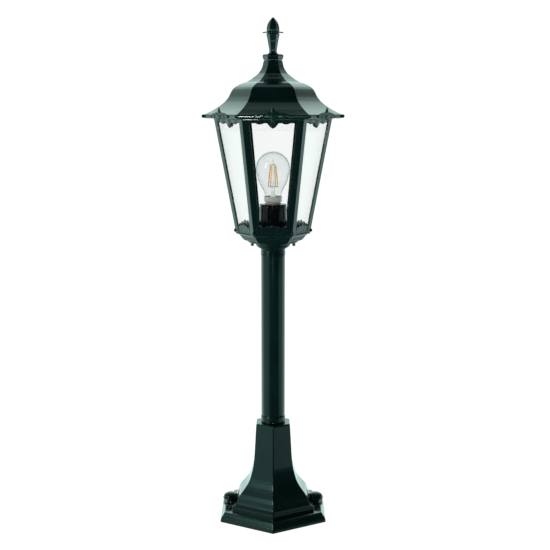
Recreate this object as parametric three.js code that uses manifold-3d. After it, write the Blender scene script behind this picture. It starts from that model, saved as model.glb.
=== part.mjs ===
// A hexagonal garden post lantern: a cast pedestal, a round post and a glazed lantern head.
// Millimetres, +Z up, origin on the ground under the middle of the pedestal, front at -Y.
// The pedestal points a corner to the front. The lantern head turns a flat side to the front.
import * as THREE from "three";
import { mergeVertices } from "three/addons/utils/BufferGeometryUtils.js";
import Module from "manifold-3d";

const wasm = await Module();
wasm.setup();

// Clearances
const GAP = 0.3;
const BORE_PLAY = 0.4;

// Pedestal
const PLINTH_RADIUS = 108.1;
const PLINTH_HEIGHT = 16.5;
const STEP_RADIUS = 84.3;
const STEP_HEIGHT = 8.7;
const BELL_RADIUS = 75;
const BELL_FOOT = 28.2;
const STALK_RADIUS = 34.9;
const BASE_HEIGHT = 169;
const BASE_WALL = 4;
const BASE_TOP_WALL = 5;

// Ground anchors, one on each side of the pedestal
const ANCHOR_SPREAD = 77;
const ANCHOR_STUD_RADIUS = 5.9;
const ANCHOR_SEAT = 14;
const ANCHOR_NUT_RADIUS = 12.6;
const NICHE_RADIUS = 17;

// Post
const TUBE_RADIUS = 21.2;
const TUBE_WALL = 2;
const TUBE_LENGTH = 287.4;
const COLLAR_HEIGHT = 14.7;
const SPIGOT_LENGTH = 18;
const ROD_RADIUS = 5;
const ROD_BORE = 3.5;
const ROD_NUT_RADIUS = 9.8;
const ROD_NUT_HEIGHT = 7;
const LEAD_RADIUS = 2.1;

// Bowl under the lantern
const BOWL_HEIGHT = 36.4;
const BOWL_FLOOR = 28;
const BOWL_FLARE = 16.3;
const BOWL_WALL = 3.4;

// Thumb nuts that hold the lantern head on the bowl
const THUMB_STUD_RADIUS = 2.8;
const THUMB_NUT_RADIUS = 4.9;

// Lantern cage
const CAGE_PLATE = 3;
const CAGE_HEIGHT = 194;
const CAGE_FOOT_RADIUS = 65.4;
const CAGE_TOP_RADIUS = 101.6;
const BAR_FLANGE = 11.5;
const BAR_METAL = 2.2;
const TENON = 1.2;
const PANE_GLASS = 3;
const LIP_METAL = 1.6;
const LIP_HEIGHT = 4.5;
const RING_METAL = 2;
const GALLERY_HEIGHT = 19.5;
const VALANCE_DROP = 13;

// Roof and finial
const ROOF_WALL = 2.5;
const EAVE_OVERHANG = 17.6;
const RIM_HEIGHT = 8;
const RIM_FLANGE = 2.4;
const ROOF_HEIGHT = 98.4;
const ROOF_NECK_RADIUS = 15.9;
const KNOB_RADIUS = 3.2;
const CREST_METAL = 2.8;
const CREST_HALF_WIDTH = 31;
const COLLAR_RIM_RADIUS = 18.2;
const FINIAL_HEIGHT = 61;
const FINIAL_STUD_RADIUS = 2.9;
const ROOF_SCREW_RADIUS = 1.9;

// Lampholder and bulb
const HOLDER_RADIUS = 23.7;
const HOLDER_HEIGHT = 46.7;
const BRACKET_HEIGHT = 14;
const BRACKET_METAL = 2;
const CAP_RADIUS = 13.2;
const CAP_LENGTH = 27;
const THREAD_PLAY = 0.5;
const THREAD_METAL = 1.2;
const BULB_RADIUS = 30;
const BULB_LENGTH = 106.3;
const BULB_GLASS = 1;

// Sizes that follow from the ones above
const CAGE_MOUTH_RADIUS = BULB_RADIUS + 3;
const THUMB_SPREAD = CAGE_MOUTH_RADIUS + THUMB_STUD_RADIUS + 0.7;
const BOWL_DISC_RADIUS = THUMB_SPREAD + THUMB_NUT_RADIUS + 3.3;
const BOWL_RIM_RADIUS = BOWL_DISC_RADIUS + BOWL_FLARE;
const NECK_TOP_RADIUS = THUMB_SPREAD - THUMB_NUT_RADIUS - 1;
const RIM_RADIUS = CAGE_TOP_RADIUS + EAVE_OVERHANG;
const PANE_DEPTH = BAR_METAL + GAP + PANE_GLASS;
const RING_MOUTH_RADIUS = (CAGE_TOP_RADIUS - 1) * Math.cos(Math.PI / 6) - PANE_DEPTH - 5.6;
const ROOF_SCREW_SPREAD = RING_MOUTH_RADIUS + 10;

// Derived places and slopes
const COS30 = Math.cos(Math.PI / 6);
const TAN30 = Math.tan(Math.PI / 6);
const CORNERS_ON_X = Math.PI / 6;
const CORNER_IN_FRONT = 0;
const HEAD_Z = BASE_HEIGHT + COLLAR_HEIGHT + TUBE_LENGTH + 3 * GAP;
const CAGE_Z = BOWL_HEIGHT + GAP;
const BAR_FOOT = CAGE_PLATE + GAP;
const BAR_TOP = BAR_FOOT + CAGE_HEIGHT;
const RING_Z = BAR_TOP + GAP;
const ROOF_Z = RING_Z + RING_METAL + GAP;
const CAGE_SLOPE = (CAGE_TOP_RADIUS - CAGE_FOOT_RADIUS) / CAGE_HEIGHT;
const SLOPED = Math.sqrt(1 + (CAGE_SLOPE * COS30) ** 2);

function finish(color, roughness, metalness) {
  return new THREE.MeshStandardMaterial({ color, roughness, metalness });
}
const greenPaint = () => finish(0x0c2b29, 0.25, 0.3);
const steel = () => finish(0xb4b6b6, 0.35, 1);
const zincSteel = () => finish(0x9a9d9c, 0.45, 1);
const blackPlastic = () => finish(0x0a0b0b, 0.2, 0);
const brass = () => finish(0xb08a3e, 0.35, 1);
const nickel = () => finish(0xc9c6bd, 0.25, 1);

function clearGlass() {
  const glass = finish(0xf2f5f4, 0.05, 0);
  glass.transparent = true;
  glass.opacity = 0.25;
  return glass;
}

// Geometry helpers

function volumeOf(place, corners) {
  const [a, b, c] = [new THREE.Vector3(), new THREE.Vector3(), new THREE.Vector3()];
  let volume = 0;
  for (let i = 0; i < corners.length; i += 3) {
    a.fromArray(place, corners[i] * 3);
    b.fromArray(place, corners[i + 1] * 3);
    c.fromArray(place, corners[i + 2] * 3);
    volume += a.dot(b.cross(c)) / 6;
  }
  return volume;
}

// A closed geometry as a solid whose faces point out.
function solidOf(geometry) {
  const bare = geometry.clone();
  bare.deleteAttribute("normal");
  bare.deleteAttribute("uv");
  const merged = mergeVertices(bare, 1e-4);
  const place = merged.getAttribute("position").array;
  const corners = [];
  for (let i = 0; i < merged.index.count; i += 3) {
    const [a, b, c] = [0, 1, 2].map((k) => merged.index.getX(i + k));
    if (a !== b && b !== c && c !== a) corners.push(a, b, c);
  }
  if (volumeOf(place, corners) < 0) corners.reverse();
  return new wasm.Manifold(
    new wasm.Mesh({
      numProp: 3,
      vertProperties: new Float32Array(place),
      triVerts: new Uint32Array(corners),
    }),
  );
}

// A profile of [radius, height] points turned about Z. Six sides make a hexagonal body.
function turned(profile, sides = 20, turn = 0) {
  const points = profile.map(([radius, height]) => new THREE.Vector2(radius, height));
  const geometry = new THREE.LatheGeometry(points, sides, turn);
  geometry.rotateX(Math.PI / 2);
  return solidOf(geometry);
}

function hexTurned(profile, turn = CORNERS_ON_X) {
  return turned(profile, 6, turn);
}

function ringProfile(inner, outer, bottom, top) {
  return [[inner, bottom], [outer, bottom], [outer, top], [inner, top], [inner, bottom]];
}

function discProfile(radius, bottom, top) {
  return [[0, bottom], [radius, bottom], [radius, top], [0, top]];
}

// An upright round bar or hole.
function post(radius, bottom, top, x = 0, y = 0, sides = 12) {
  const geometry = new THREE.CylinderGeometry(radius, radius, top - bottom, sides);
  geometry.rotateX(Math.PI / 2);
  geometry.translate(x, y, (bottom + top) / 2);
  return solidOf(geometry);
}

function block(width, depth, height, x, y, z) {
  const geometry = new THREE.BoxGeometry(width, depth, height);
  geometry.translate(x, y, z);
  return solidOf(geometry);
}

function ball(radius, x, y, z, sides = 8) {
  const geometry = new THREE.SphereGeometry(radius, sides, 6);
  geometry.rotateX(Math.PI / 2);
  geometry.translate(x, y, z);
  return solidOf(geometry);
}

// A straight round rod between two points.
function rod(radius, from, to, sides = 8) {
  const [a, b] = [new THREE.Vector3(...from), new THREE.Vector3(...to)];
  const geometry = new THREE.CylinderGeometry(radius, radius, a.distanceTo(b), sides);
  const turn = new THREE.Quaternion();
  turn.setFromUnitVectors(new THREE.Vector3(0, 1, 0), b.clone().sub(a).normalize());
  geometry.applyQuaternion(turn);
  geometry.translate((a.x + b.x) / 2, (a.y + b.y) / 2, (a.z + b.z) / 2);
  return solidOf(geometry);
}

function shapeOf(points) {
  return new THREE.Shape(points.map(([x, y]) => new THREE.Vector2(x, y)));
}

function spin(solid, degrees) {
  return solid.rotate([0, 0, degrees]);
}

function joined(solids) {
  return solids.reduce((all, one) => all.add(one));
}

// A hexagonal profile moved inwards by a wall, measured square to its flat sides.
function inset(profile, wall) {
  const flat = profile.map(([radius, height]) => [radius * COS30, height]);
  return flat.map(([x, z], i) => {
    const [x0, z0] = flat[Math.max(i - 1, 0)];
    const [x1, z1] = flat[Math.min(i + 1, flat.length - 1)];
    const length = Math.hypot(x1 - x0, z1 - z0);
    const nx = (z1 - z0) / length;
    const nz = (x0 - x1) / length;
    return [(x - nx * wall) / COS30, z - nz * wall];
  });
}

// A curve given as [share of height, share of radius] between a foot and a top.
function curve(shares, foot, top) {
  return shares.map(([up, out]) => [
    top[0] + (foot[0] - top[0]) * out,
    foot[1] + (top[1] - foot[1]) * up,
  ]);
}

function part(group, name, solid, material) {
  const made = solid.getMesh();
  const geometry = new THREE.BufferGeometry();
  const place = new THREE.BufferAttribute(new Float32Array(made.vertProperties), 3);
  geometry.setAttribute("position", place);
  geometry.setIndex(new THREE.BufferAttribute(new Uint32Array(made.triVerts), 1));
  geometry.computeVertexNormals();
  const mesh = new THREE.Mesh(geometry, material);
  mesh.name = name;
  group.add(mesh);
  return mesh;
}

const SIDES = [["left", -1], ["right", 1]];

// Pedestal

const BELL_CURVE = [
  [0, 1], [0.025, 0.96], [0.068, 0.91], [0.114, 0.793], [0.159, 0.641], [0.205, 0.499],
  [0.252, 0.384], [0.301, 0.307], [0.352, 0.247], [0.402, 0.195], [0.453, 0.155],
  [0.531, 0.112], [0.609, 0.085], [0.723, 0.062], [0.844, 0.035], [1, 0],
];

function bellProfile() {
  return curve(BELL_CURVE, [BELL_RADIUS, BELL_FOOT], [STALK_RADIUS, BASE_HEIGHT]);
}

function baseOutside() {
  const step = PLINTH_HEIGHT + STEP_HEIGHT;
  return hexTurned([
    [0, 0],
    [PLINTH_RADIUS, 0],
    [PLINTH_RADIUS - 0.4, 3.7],
    [PLINTH_RADIUS - 1.5, 7.2],
    [PLINTH_RADIUS - 4.3, 10.4],
    [PLINTH_RADIUS - 6.7, 13.4],
    [PLINTH_RADIUS - 7.5, PLINTH_HEIGHT - 0.9],
    [PLINTH_RADIUS - 9.1, PLINTH_HEIGHT],
    [STEP_RADIUS, PLINTH_HEIGHT],
    [STEP_RADIUS, step - 1.8],
    [STEP_RADIUS - 4.9, step],
    [BELL_RADIUS + 1.6, step + 1],
    ...bellProfile(),
    [0, BASE_HEIGHT],
  ], CORNER_IN_FRONT);
}

function baseHollow() {
  const bell = inset(bellProfile(), BASE_WALL);
  const roof = BASE_HEIGHT - BASE_TOP_WALL;
  const below = bell.filter(([, height]) => height < roof - 1);
  const last = below[below.length - 1];
  const wall = BASE_WALL / COS30;
  return hexTurned([
    [0, -1],
    [PLINTH_RADIUS - 7.5 - wall, -1],
    [PLINTH_RADIUS - 7.5 - wall, PLINTH_HEIGHT - BASE_WALL],
    [STEP_RADIUS - wall, PLINTH_HEIGHT - BASE_WALL],
    [STEP_RADIUS - wall, PLINTH_HEIGHT + STEP_HEIGHT - 2 * BASE_WALL],
    [BELL_RADIUS - wall, PLINTH_HEIGHT + STEP_HEIGHT - BASE_WALL],
    ...below,
    [last[0], roof],
    [0, roof],
  ], CORNER_IN_FRONT);
}

function baseCasting() {
  let hollow = baseHollow();
  for (const [, side] of SIDES) {
    const pillar = post(NICHE_RADIUS + BASE_WALL, -2, BELL_FOOT * 2, side * ANCHOR_SPREAD, 0, 20);
    hollow = hollow.subtract(pillar);
  }
  let casting = baseOutside().subtract(hollow);
  for (const [, side] of SIDES) {
    const x = side * ANCHOR_SPREAD;
    casting = casting.subtract(post(NICHE_RADIUS, ANCHOR_SEAT, BASE_HEIGHT, x, 0, 24));
    casting = casting.subtract(post(ANCHOR_STUD_RADIUS + BORE_PLAY, -1, ANCHOR_SEAT + 1, x, 0));
  }
  return casting.subtract(post(ROD_RADIUS + BORE_PLAY, 0, BASE_HEIGHT + 1));
}

function anchorNut() {
  const bottom = ANCHOR_SEAT + 2.3 + GAP;
  const flange = bottom + 9.6;
  const radius = ANCHOR_NUT_RADIUS;
  const nut = turned(discProfile(radius, bottom, flange), 6);
  const cap = turned([
    [0, flange - 0.5],
    [radius + 1.2, flange - 0.5],
    [radius + 1.5, flange + 0.8],
    [radius + 0.9, flange + 1.9],
    [radius - 1.1, flange + 2.2],
    [radius - 1.1, flange + 3.4],
    [radius + 0.2, flange + 3.8],
    [radius - 1.6, flange + 6],
    [radius - 5.4, flange + 8.4],
    [0, flange + 9.6],
  ], 16);
  const bore = post(ANCHOR_STUD_RADIUS + BORE_PLAY, bottom - 1, flange + 4);
  return nut.add(cap).subtract(bore);
}

function addAnchors(group) {
  const seat = ANCHOR_SEAT + GAP;
  const bore = ANCHOR_STUD_RADIUS + BORE_PLAY;
  for (const [name, side] of SIDES) {
    const anchor = new THREE.Group();
    anchor.position.x = side * ANCHOR_SPREAD;
    group.add(anchor);
    const washer = turned(ringProfile(bore, ANCHOR_NUT_RADIUS + 1.6, seat, seat + 2), 20);
    part(anchor, `anchor_washer_${name}`, washer, zincSteel());
    part(anchor, `anchor_nut_${name}`, anchorNut(), greenPaint());
    part(anchor, `anchor_stud_${name}`, post(ANCHOR_STUD_RADIUS, 0.5, 29), zincSteel());
  }
}

// Post, with the hollow rod that clamps pedestal, post and bowl together

function tubeCollar() {
  const inside = TUBE_RADIUS - TUBE_WALL - GAP;
  return turned([
    [ROD_RADIUS + BORE_PLAY, 0],
    [TUBE_RADIUS + 0.2, 0],
    [TUBE_RADIUS + 0.8, 1.5],
    [TUBE_RADIUS + 0.8, COLLAR_HEIGHT - 3.6],
    [TUBE_RADIUS, COLLAR_HEIGHT - 2.2],
    [TUBE_RADIUS - 1.2, COLLAR_HEIGHT - 1.8],
    [TUBE_RADIUS - 1.2, COLLAR_HEIGHT],
    [inside, COLLAR_HEIGHT],
    [inside, COLLAR_HEIGHT + SPIGOT_LENGTH],
    [ROD_RADIUS + BORE_PLAY, COLLAR_HEIGHT + SPIGOT_LENGTH],
    [ROD_RADIUS + BORE_PLAY, 0],
  ], 24);
}

function rodNut(bottom) {
  const nut = turned(discProfile(ROD_NUT_RADIUS, bottom, bottom + ROD_NUT_HEIGHT), 6);
  return nut.subtract(post(ROD_RADIUS + BORE_PLAY, bottom - 1, bottom + ROD_NUT_HEIGHT + 1));
}

function cableBush(rodEnd) {
  const bore = LEAD_RADIUS + BORE_PLAY;
  return turned([
    [bore, rodEnd - 3],
    [ROD_RADIUS + 1, rodEnd - 3],
    [ROD_RADIUS + 1, rodEnd - GAP],
    [ROD_BORE - GAP, rodEnd - GAP],
    [ROD_BORE - GAP, rodEnd + 9],
    [bore, rodEnd + 9],
    [bore, rodEnd - 3],
  ], 16);
}

function addPost(group) {
  const washerTop = BASE_HEIGHT - BASE_TOP_WALL - GAP;
  const washer = turned(ringProfile(ROD_RADIUS + BORE_PLAY, 13, washerTop - 2.5, washerTop), 16);
  const nutBottom = washerTop - 2.5 - GAP - ROD_NUT_HEIGHT;
  const rodEnd = nutBottom - 6;
  const upperNut = HEAD_Z + BOWL_FLOOR + BRACKET_METAL + 2 * GAP;
  const rodTop = upperNut + ROD_NUT_HEIGHT + 1;
  const collar = part(group, "tube_collar", tubeCollar(), greenPaint());
  collar.position.z = BASE_HEIGHT + GAP;
  const inside = TUBE_RADIUS - TUBE_WALL;
  const tube = turned(ringProfile(inside, TUBE_RADIUS, 0, TUBE_LENGTH), 32);
  const pole = part(group, "post_tube", tube, greenPaint());
  pole.position.z = BASE_HEIGHT + COLLAR_HEIGHT + 2 * GAP;
  const rodSolid = turned(ringProfile(ROD_BORE, ROD_RADIUS, rodEnd, rodTop), 16);
  part(group, "tie_rod", rodSolid, zincSteel());
  part(group, "rod_washer", washer, zincSteel());
  part(group, "rod_nut_lower", rodNut(nutBottom), zincSteel());
  part(group, "rod_nut_upper", rodNut(upperNut), zincSteel());
  part(group, "cable_bush", cableBush(rodEnd), blackPlastic());
  const leadTop = HEAD_Z + BOWL_FLOOR + GAP + BRACKET_HEIGHT + 10;
  part(group, "lamp_lead", post(LEAD_RADIUS, rodEnd - 2, leadTop, 0, 0, 12), blackPlastic());
}

// Bowl: a turned neck and disc that grow into a hexagonal dish

function bowlNeck() {
  const spigot = TUBE_RADIUS - TUBE_WALL - GAP;
  const neck = TUBE_RADIUS;
  const flare = NECK_TOP_RADIUS - neck;
  return turned([
    [0, 8],
    [spigot - 4, 8],
    [spigot - 4, -SPIGOT_LENGTH],
    [spigot, -SPIGOT_LENGTH],
    [spigot, 0],
    [neck + 0.2, 0],
    [neck + 1.1, 0.9],
    [neck + 1.1, 2.3],
    [neck, 3.1],
    [neck, 4.3],
    [neck + 1, 5.1],
    [neck + 1, 6.5],
    [neck + flare * 0.02, 7.4],
    [neck + flare * 0.04, 9.4],
    [neck + flare * 0.21, 11.7],
    [neck + flare * 0.45, 12.6],
    [neck + flare * 0.82, 15.3],
    [neck + flare * 0.96, 17.6],
    [neck + flare * 0.98, 21.5],
    [neck + flare, 23],
    [BOWL_DISC_RADIUS - 0.9, 23],
    [BOWL_DISC_RADIUS, 23.9],
    [BOWL_DISC_RADIUS, BOWL_FLOOR],
    [0, BOWL_FLOOR],
  ], 24);
}

function bowlDish() {
  const rim = BOWL_RIM_RADIUS;
  const outside = hexTurned([
    [0, 25.2],
    [rim - 11.5, 25.2],
    [rim - 10.2, 26],
    [rim - 6.9, 29.4],
    [rim - 4.2, 32.9],
    [rim - 1.5, BOWL_HEIGHT - 0.8],
    [rim - 1.2, BOWL_HEIGHT],
    [0, BOWL_HEIGHT],
  ]);
  const wall = BOWL_WALL / COS30;
  const hollow = hexTurned([
    [0, BOWL_FLOOR],
    [rim - 10.2 - wall, BOWL_FLOOR],
    [rim - 4.2 - wall, 32.9],
    [rim - 1.6 - wall, BOWL_HEIGHT + 1],
    [0, BOWL_HEIGHT + 1],
  ]);
  return outside.subtract(hollow);
}

function bowlCasting() {
  let casting = bowlNeck().add(bowlDish());
  casting = casting.subtract(post(ROD_RADIUS + BORE_PLAY, 0, BOWL_FLOOR + 1));
  for (const [, side] of SIDES) {
    const bore = post(THUMB_STUD_RADIUS + BORE_PLAY, 20, BOWL_FLOOR + 1, side * THUMB_SPREAD);
    casting = casting.subtract(bore);
  }
  return casting;
}

function thumbNut(seat) {
  const radius = THUMB_NUT_RADIUS;
  const head = turned([
    [0, seat - 9.6],
    [1.6, seat - 9.2],
    [radius - 1.6, seat - 8],
    [radius - 0.6, seat - 6.4],
    [radius - 0.9, seat - 4.7],
    [radius, seat - 3.6],
    [radius, seat - 0.5],
    [radius - 0.5, seat],
    [0, seat],
  ], 16);
  return head.subtract(post(THUMB_STUD_RADIUS + BORE_PLAY, seat - 6, seat + 1));
}

function addBowl(head) {
  part(head, "bowl_casting", bowlCasting(), greenPaint());
  const washerTop = 23 - GAP;
  const bore = THUMB_STUD_RADIUS + BORE_PLAY;
  for (const [name, side] of SIDES) {
    const thumb = new THREE.Group();
    thumb.position.x = side * THUMB_SPREAD;
    head.add(thumb);
    const ring = ringProfile(bore, THUMB_NUT_RADIUS + 0.7, washerTop - 1.3, washerTop);
    part(thumb, `thumb_washer_${name}`, turned(ring, 16), zincSteel());
    const nut = thumbNut(washerTop - 1.3 - GAP);
    part(thumb, `thumb_nut_${name}`, nut, greenPaint());
    const stud = post(THUMB_STUD_RADIUS, washerTop - 1.3 - GAP - 5.5, CAGE_Z - GAP, 0, 0, 12);
    part(thumb, `thumb_stud_${name}`, stud, zincSteel());
  }
}

// Lantern cage. Heights here count from the underside of its floor plate.

function cageRadius(height) {
  return CAGE_FOOT_RADIUS + CAGE_SLOPE * (height - BAR_FOOT);
}

function cageApothem(height) {
  return cageRadius(height) * COS30;
}

// The corner bar at +X: an angle section whose flanges lie along the two panes beside it.
function barSolid(play) {
  const metal = BAR_METAL * SLOPED + play;
  const reach = BAR_FLANGE + play;
  const leg = (side) => [
    [play - reach * 0.5, side * reach * COS30],
    [-reach * 0.5 - metal * COS30, side * (reach * COS30 - metal * 0.5)],
  ];
  const [right, left] = [leg(1), leg(-1)];
  const outline = [[play / COS30, 0], ...right, [-metal / COS30, 0], ...left.reverse()];
  const bottom = BAR_FOOT - TENON - play;
  const height = CAGE_HEIGHT + 2 * (TENON + play);
  const geometry = new THREE.ExtrudeGeometry(shapeOf(outline), {
    depth: height,
    bevelEnabled: false,
  });
  const lean = new THREE.Matrix4().set(
    1, 0, CAGE_SLOPE, cageRadius(bottom),
    0, 1, 0, 0,
    0, 0, 1, bottom,
    0, 0, 0, 1,
  );
  geometry.applyMatrix4(lean);
  return solidOf(geometry);
}

function cornerBar() {
  const knob = ball(2.9, cageRadius(BAR_FOOT) + 0.6, 0, BAR_FOOT + 3.1);
  return barSolid(0).add(knob);
}

function barSockets() {
  const socket = barSolid(GAP);
  return [0, 1, 2, 3, 4, 5].map((i) => spin(socket, i * 60));
}

// A plate in the plane of the front pane: an outline of [across, height] points, extruded
// inwards from a face that lies set back from the outside of the bars.
function leaningPlate(outline, setBack, metal) {
  const geometry = new THREE.ExtrudeGeometry(shapeOf(outline), {
    depth: metal * SLOPED,
    bevelEnabled: false,
  });
  const slope = CAGE_SLOPE * COS30;
  const face = cageApothem(0) - setBack * SLOPED;
  const lean = new THREE.Matrix4().set(
    1, 0, 0, 0,
    0, -slope, 1, -face,
    0, 1, 0, 0,
    0, 0, 0, 1,
  );
  geometry.applyMatrix4(lean);
  return solidOf(geometry);
}

// Half the clear width between two bars, at a height.
function clearHalf(height) {
  return cageApothem(height) * TAN30 - BAR_FLANGE - GAP;
}

function mirrored(half) {
  return [...half, ...half.slice().reverse().map(([x, z]) => [-x, z])];
}

function galleryPanel() {
  const foot = CAGE_PLATE - 0.6;
  const crown = CAGE_PLATE + GALLERY_HEIGHT;
  const side = clearHalf(CAGE_PLATE);
  const outline = mirrored([
    [side, foot],
    [side + 0.8, crown - 6.5],
    [side - 2.6, crown - 3.6],
    [side - 5.6, crown - 5.4],
    [side - 9.6, crown - 1.6],
    [side - 13, crown - 3.8],
    [3.4, crown - 2.6],
    [1, crown],
  ]);
  return leaningPlate(outline, GAP, BAR_METAL - GAP);
}

function cageFloor() {
  const foot = CAGE_FOOT_RADIUS;
  let plate = hexTurned([[0, 0], [foot - 2, 0], [foot, 1.2], [foot, CAGE_PLATE], [0, CAGE_PLATE]]);
  const inner = paneInside(CAGE_PLATE) / COS30 - GAP / COS30;
  const lip = ringProfile(inner - LIP_METAL / COS30, inner, CAGE_PLATE - 0.5, CAGE_PLATE + LIP_HEIGHT);
  plate = plate.add(hexTurned(lip));
  for (let i = 0; i < 6; i++) plate = plate.add(spin(galleryPanel(), i * 60));
  for (const socket of barSockets()) plate = plate.subtract(socket);
  return plate.subtract(turned(discProfile(CAGE_MOUTH_RADIUS, -1, CAGE_PLATE + 1), 24));
}

// Distance from the axis to the inside of a pane, at a height.
function paneInside(height) {
  return cageApothem(height) - PANE_DEPTH * SLOPED;
}

function paneSolid() {
  const bottom = BAR_FOOT;
  const top = BAR_TOP - 1.2;
  const half = (height) => paneInside(height) * TAN30 - GAP;
  const outline = mirrored([[half(bottom), bottom], [half(top), top]]);
  return leaningPlate(outline, BAR_METAL + GAP, PANE_GLASS);
}

function valancePanel() {
  const top = RING_Z + 0.5;
  const edge = BAR_TOP - 3;
  const side = clearHalf(edge);
  const drop = BAR_TOP - VALANCE_DROP;
  const outline = mirrored([
    [side + 0.3, top],
    [side, edge],
    [side - 3, BAR_TOP - 4.6],
    [26, BAR_TOP - 5.8],
    [22, BAR_TOP - 6.4],
    [18, BAR_TOP - 5.9],
    [14.6, BAR_TOP - 4.2],
    [12, BAR_TOP - 3.2],
    [9.6, BAR_TOP - 4],
    [7.6, drop + 5.6],
    [3.6, drop + 1.7],
    [1, drop],
  ]);
  return leaningPlate(outline, GAP, BAR_METAL - GAP);
}

function cageCrown() {
  const outer = CAGE_TOP_RADIUS + 0.6;
  const bottom = RING_Z;
  let ring = hexTurned(discProfile(outer, bottom, bottom + RING_METAL));
  const low = BAR_TOP - LIP_HEIGHT;
  const inner = (paneInside(low) - GAP) / COS30;
  ring = ring.add(hexTurned(ringProfile(inner - LIP_METAL / COS30, inner, low, bottom + 0.5)));
  for (let i = 0; i < 6; i++) ring = ring.add(spin(valancePanel(), i * 60));
  for (const socket of barSockets()) ring = ring.subtract(socket);
  ring = ring.subtract(turned(discProfile(RING_MOUTH_RADIUS, low - 1, bottom + RING_METAL + 1), 24));
  for (let i = 0; i < 3; i++) {
    const hole = post(ROOF_SCREW_RADIUS + BORE_PLAY, bottom - 1, bottom + 4, ROOF_SCREW_SPREAD);
    ring = ring.subtract(spin(hole, i * 120));
  }
  return ring;
}

function addCage(cage) {
  part(cage, "cage_floor", cageFloor(), greenPaint());
  for (let i = 0; i < 6; i++) {
    const bar = part(cage, `corner_bar_${i + 1}`, cornerBar(), greenPaint());
    bar.rotation.z = (i * Math.PI) / 3;
    const pane = part(cage, `glass_pane_${i + 1}`, paneSolid(), clearGlass());
    pane.rotation.z = (i * Math.PI) / 3;
  }
  part(cage, "cage_crown", cageCrown(), greenPaint());
}

// Roof. Heights here count from its underside.

const ROOF_CURVE = [
  [0, 1], [0.022, 0.955], [0.053, 0.898], [0.09, 0.837], [0.127, 0.785], [0.164, 0.738],
  [0.2, 0.697], [0.237, 0.66], [0.274, 0.632], [0.311, 0.606], [0.348, 0.588], [0.385, 0.572],
  [0.422, 0.555], [0.459, 0.534], [0.496, 0.499], [0.532, 0.446], [0.566, 0.38], [0.596, 0.292],
  [0.643, 0.222], [0.68, 0.178], [0.716, 0.134], [0.753, 0.094], [0.79, 0.07], [0.826, 0.048],
  [0.863, 0.031], [0.9, 0.021], [0.95, 0.012], [1, 0],
];

function roofProfile() {
  const foot = [RIM_RADIUS - 2.4, RIM_HEIGHT];
  return curve(ROOF_CURVE, foot, [ROOF_NECK_RADIUS, ROOF_HEIGHT]);
}

function roofOutside() {
  const rim = RIM_RADIUS;
  return hexTurned([
    [0, 0],
    [rim - 2.8, 0],
    [rim - 0.8, 1.6],
    [rim, RIM_HEIGHT / 2],
    [rim - 0.8, RIM_HEIGHT - 1.6],
    ...roofProfile(),
    [0, ROOF_HEIGHT],
  ]);
}

function roofHollow() {
  const cover = inset(roofProfile(), ROOF_WALL);
  const ceiling = ROOF_HEIGHT * 0.745;
  const kept = cover.filter(([, height]) => height > RIM_FLANGE + 3 && height < ceiling - 1);
  const [first, last] = [kept[0], kept[kept.length - 1]];
  return hexTurned([
    [0, RIM_FLANGE],
    [first[0] - 1, RIM_FLANGE],
    ...kept,
    [last[0] - 1, ceiling],
    [0, ceiling],
  ]);
}

function cornerKnob() {
  const reach = RIM_RADIUS + 0.9;
  const middle = RIM_HEIGHT / 2;
  const neck = rod(2, [RIM_RADIUS - 4, 0, middle], [reach, 0, middle], 6);
  return neck.add(ball(KNOB_RADIUS, reach, 0, middle));
}

function roofCasting() {
  let roof = roofOutside().subtract(roofHollow());
  for (let i = 0; i < 6; i++) roof = roof.add(spin(cornerKnob(), i * 60));
  const mouth = turned(discProfile(RING_MOUTH_RADIUS + 3, -1, RIM_FLANGE + 0.5), 24);
  roof = roof.subtract(mouth);
  for (let i = 0; i < 3; i++) {
    const hole = post(ROOF_SCREW_RADIUS + BORE_PLAY, -1, RIM_FLANGE + 1, ROOF_SCREW_SPREAD);
    roof = roof.subtract(spin(hole, i * 120));
  }
  const stud = post(FINIAL_STUD_RADIUS + BORE_PLAY, RIM_HEIGHT + 10, ROOF_HEIGHT + 1);
  return roof.subtract(stud);
}

// A cast crest on the rim: a leaf in the middle with a scroll on each side.
function eaveCrest() {
  const middle = RIM_HEIGHT / 2;
  const wide = CREST_HALF_WIDTH;
  const outline = mirrored([
    [1, -3.4],
    [3.6, -1.6],
    [5.2, 0.9],
    [wide * 0.42, -0.6],
    [wide * 0.62, 0.4],
    [wide * 0.86, middle - 2.2],
    [wide, middle - 1.4],
    [wide, middle + 1.4],
    [wide * 0.84, middle + 3.2],
    [wide * 0.55, middle + 4.6],
    [7.2, middle + 5.2],
    [4, middle + 7.4],
    [2.4, middle + 8.6],
    [3.4, middle + 11.2],
    [2.4, middle + 13.4],
    [0.7, middle + 15.4],
  ]);
  const geometry = new THREE.ExtrudeGeometry(shapeOf(outline), {
    depth: CREST_METAL,
    bevelEnabled: false,
  });
  geometry.rotateX(Math.PI / 2);
  geometry.translate(0, -RIM_RADIUS * COS30 - GAP, 0);
  return solidOf(geometry);
}

function roofScrew() {
  const under = -GAP - RING_METAL - GAP;
  const head = turned([[0, under - 2.2], [2.6, under - 2], [3.6, under - 0.8], [3.6, under], [0, under]], 16);
  return head.add(post(ROOF_SCREW_RADIUS, under - 1, RIM_FLANGE, 0, 0, 12));
}

// Finial: a flared collar, then a stem, a thin disc and a bud, all six-sided.

function finialCollar() {
  const rim = COLLAR_RIM_RADIUS;
  const body = hexTurned([
    [0, 0],
    [rim - 2.3, 0],
    [rim - 0.8, 3],
    [rim, 6.4],
    [rim - 0.6, 8.4],
    [rim - 3, 10],
    [0, 10],
  ]);
  return body.subtract(post(FINIAL_STUD_RADIUS + BORE_PLAY, -1, 11));
}

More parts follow.
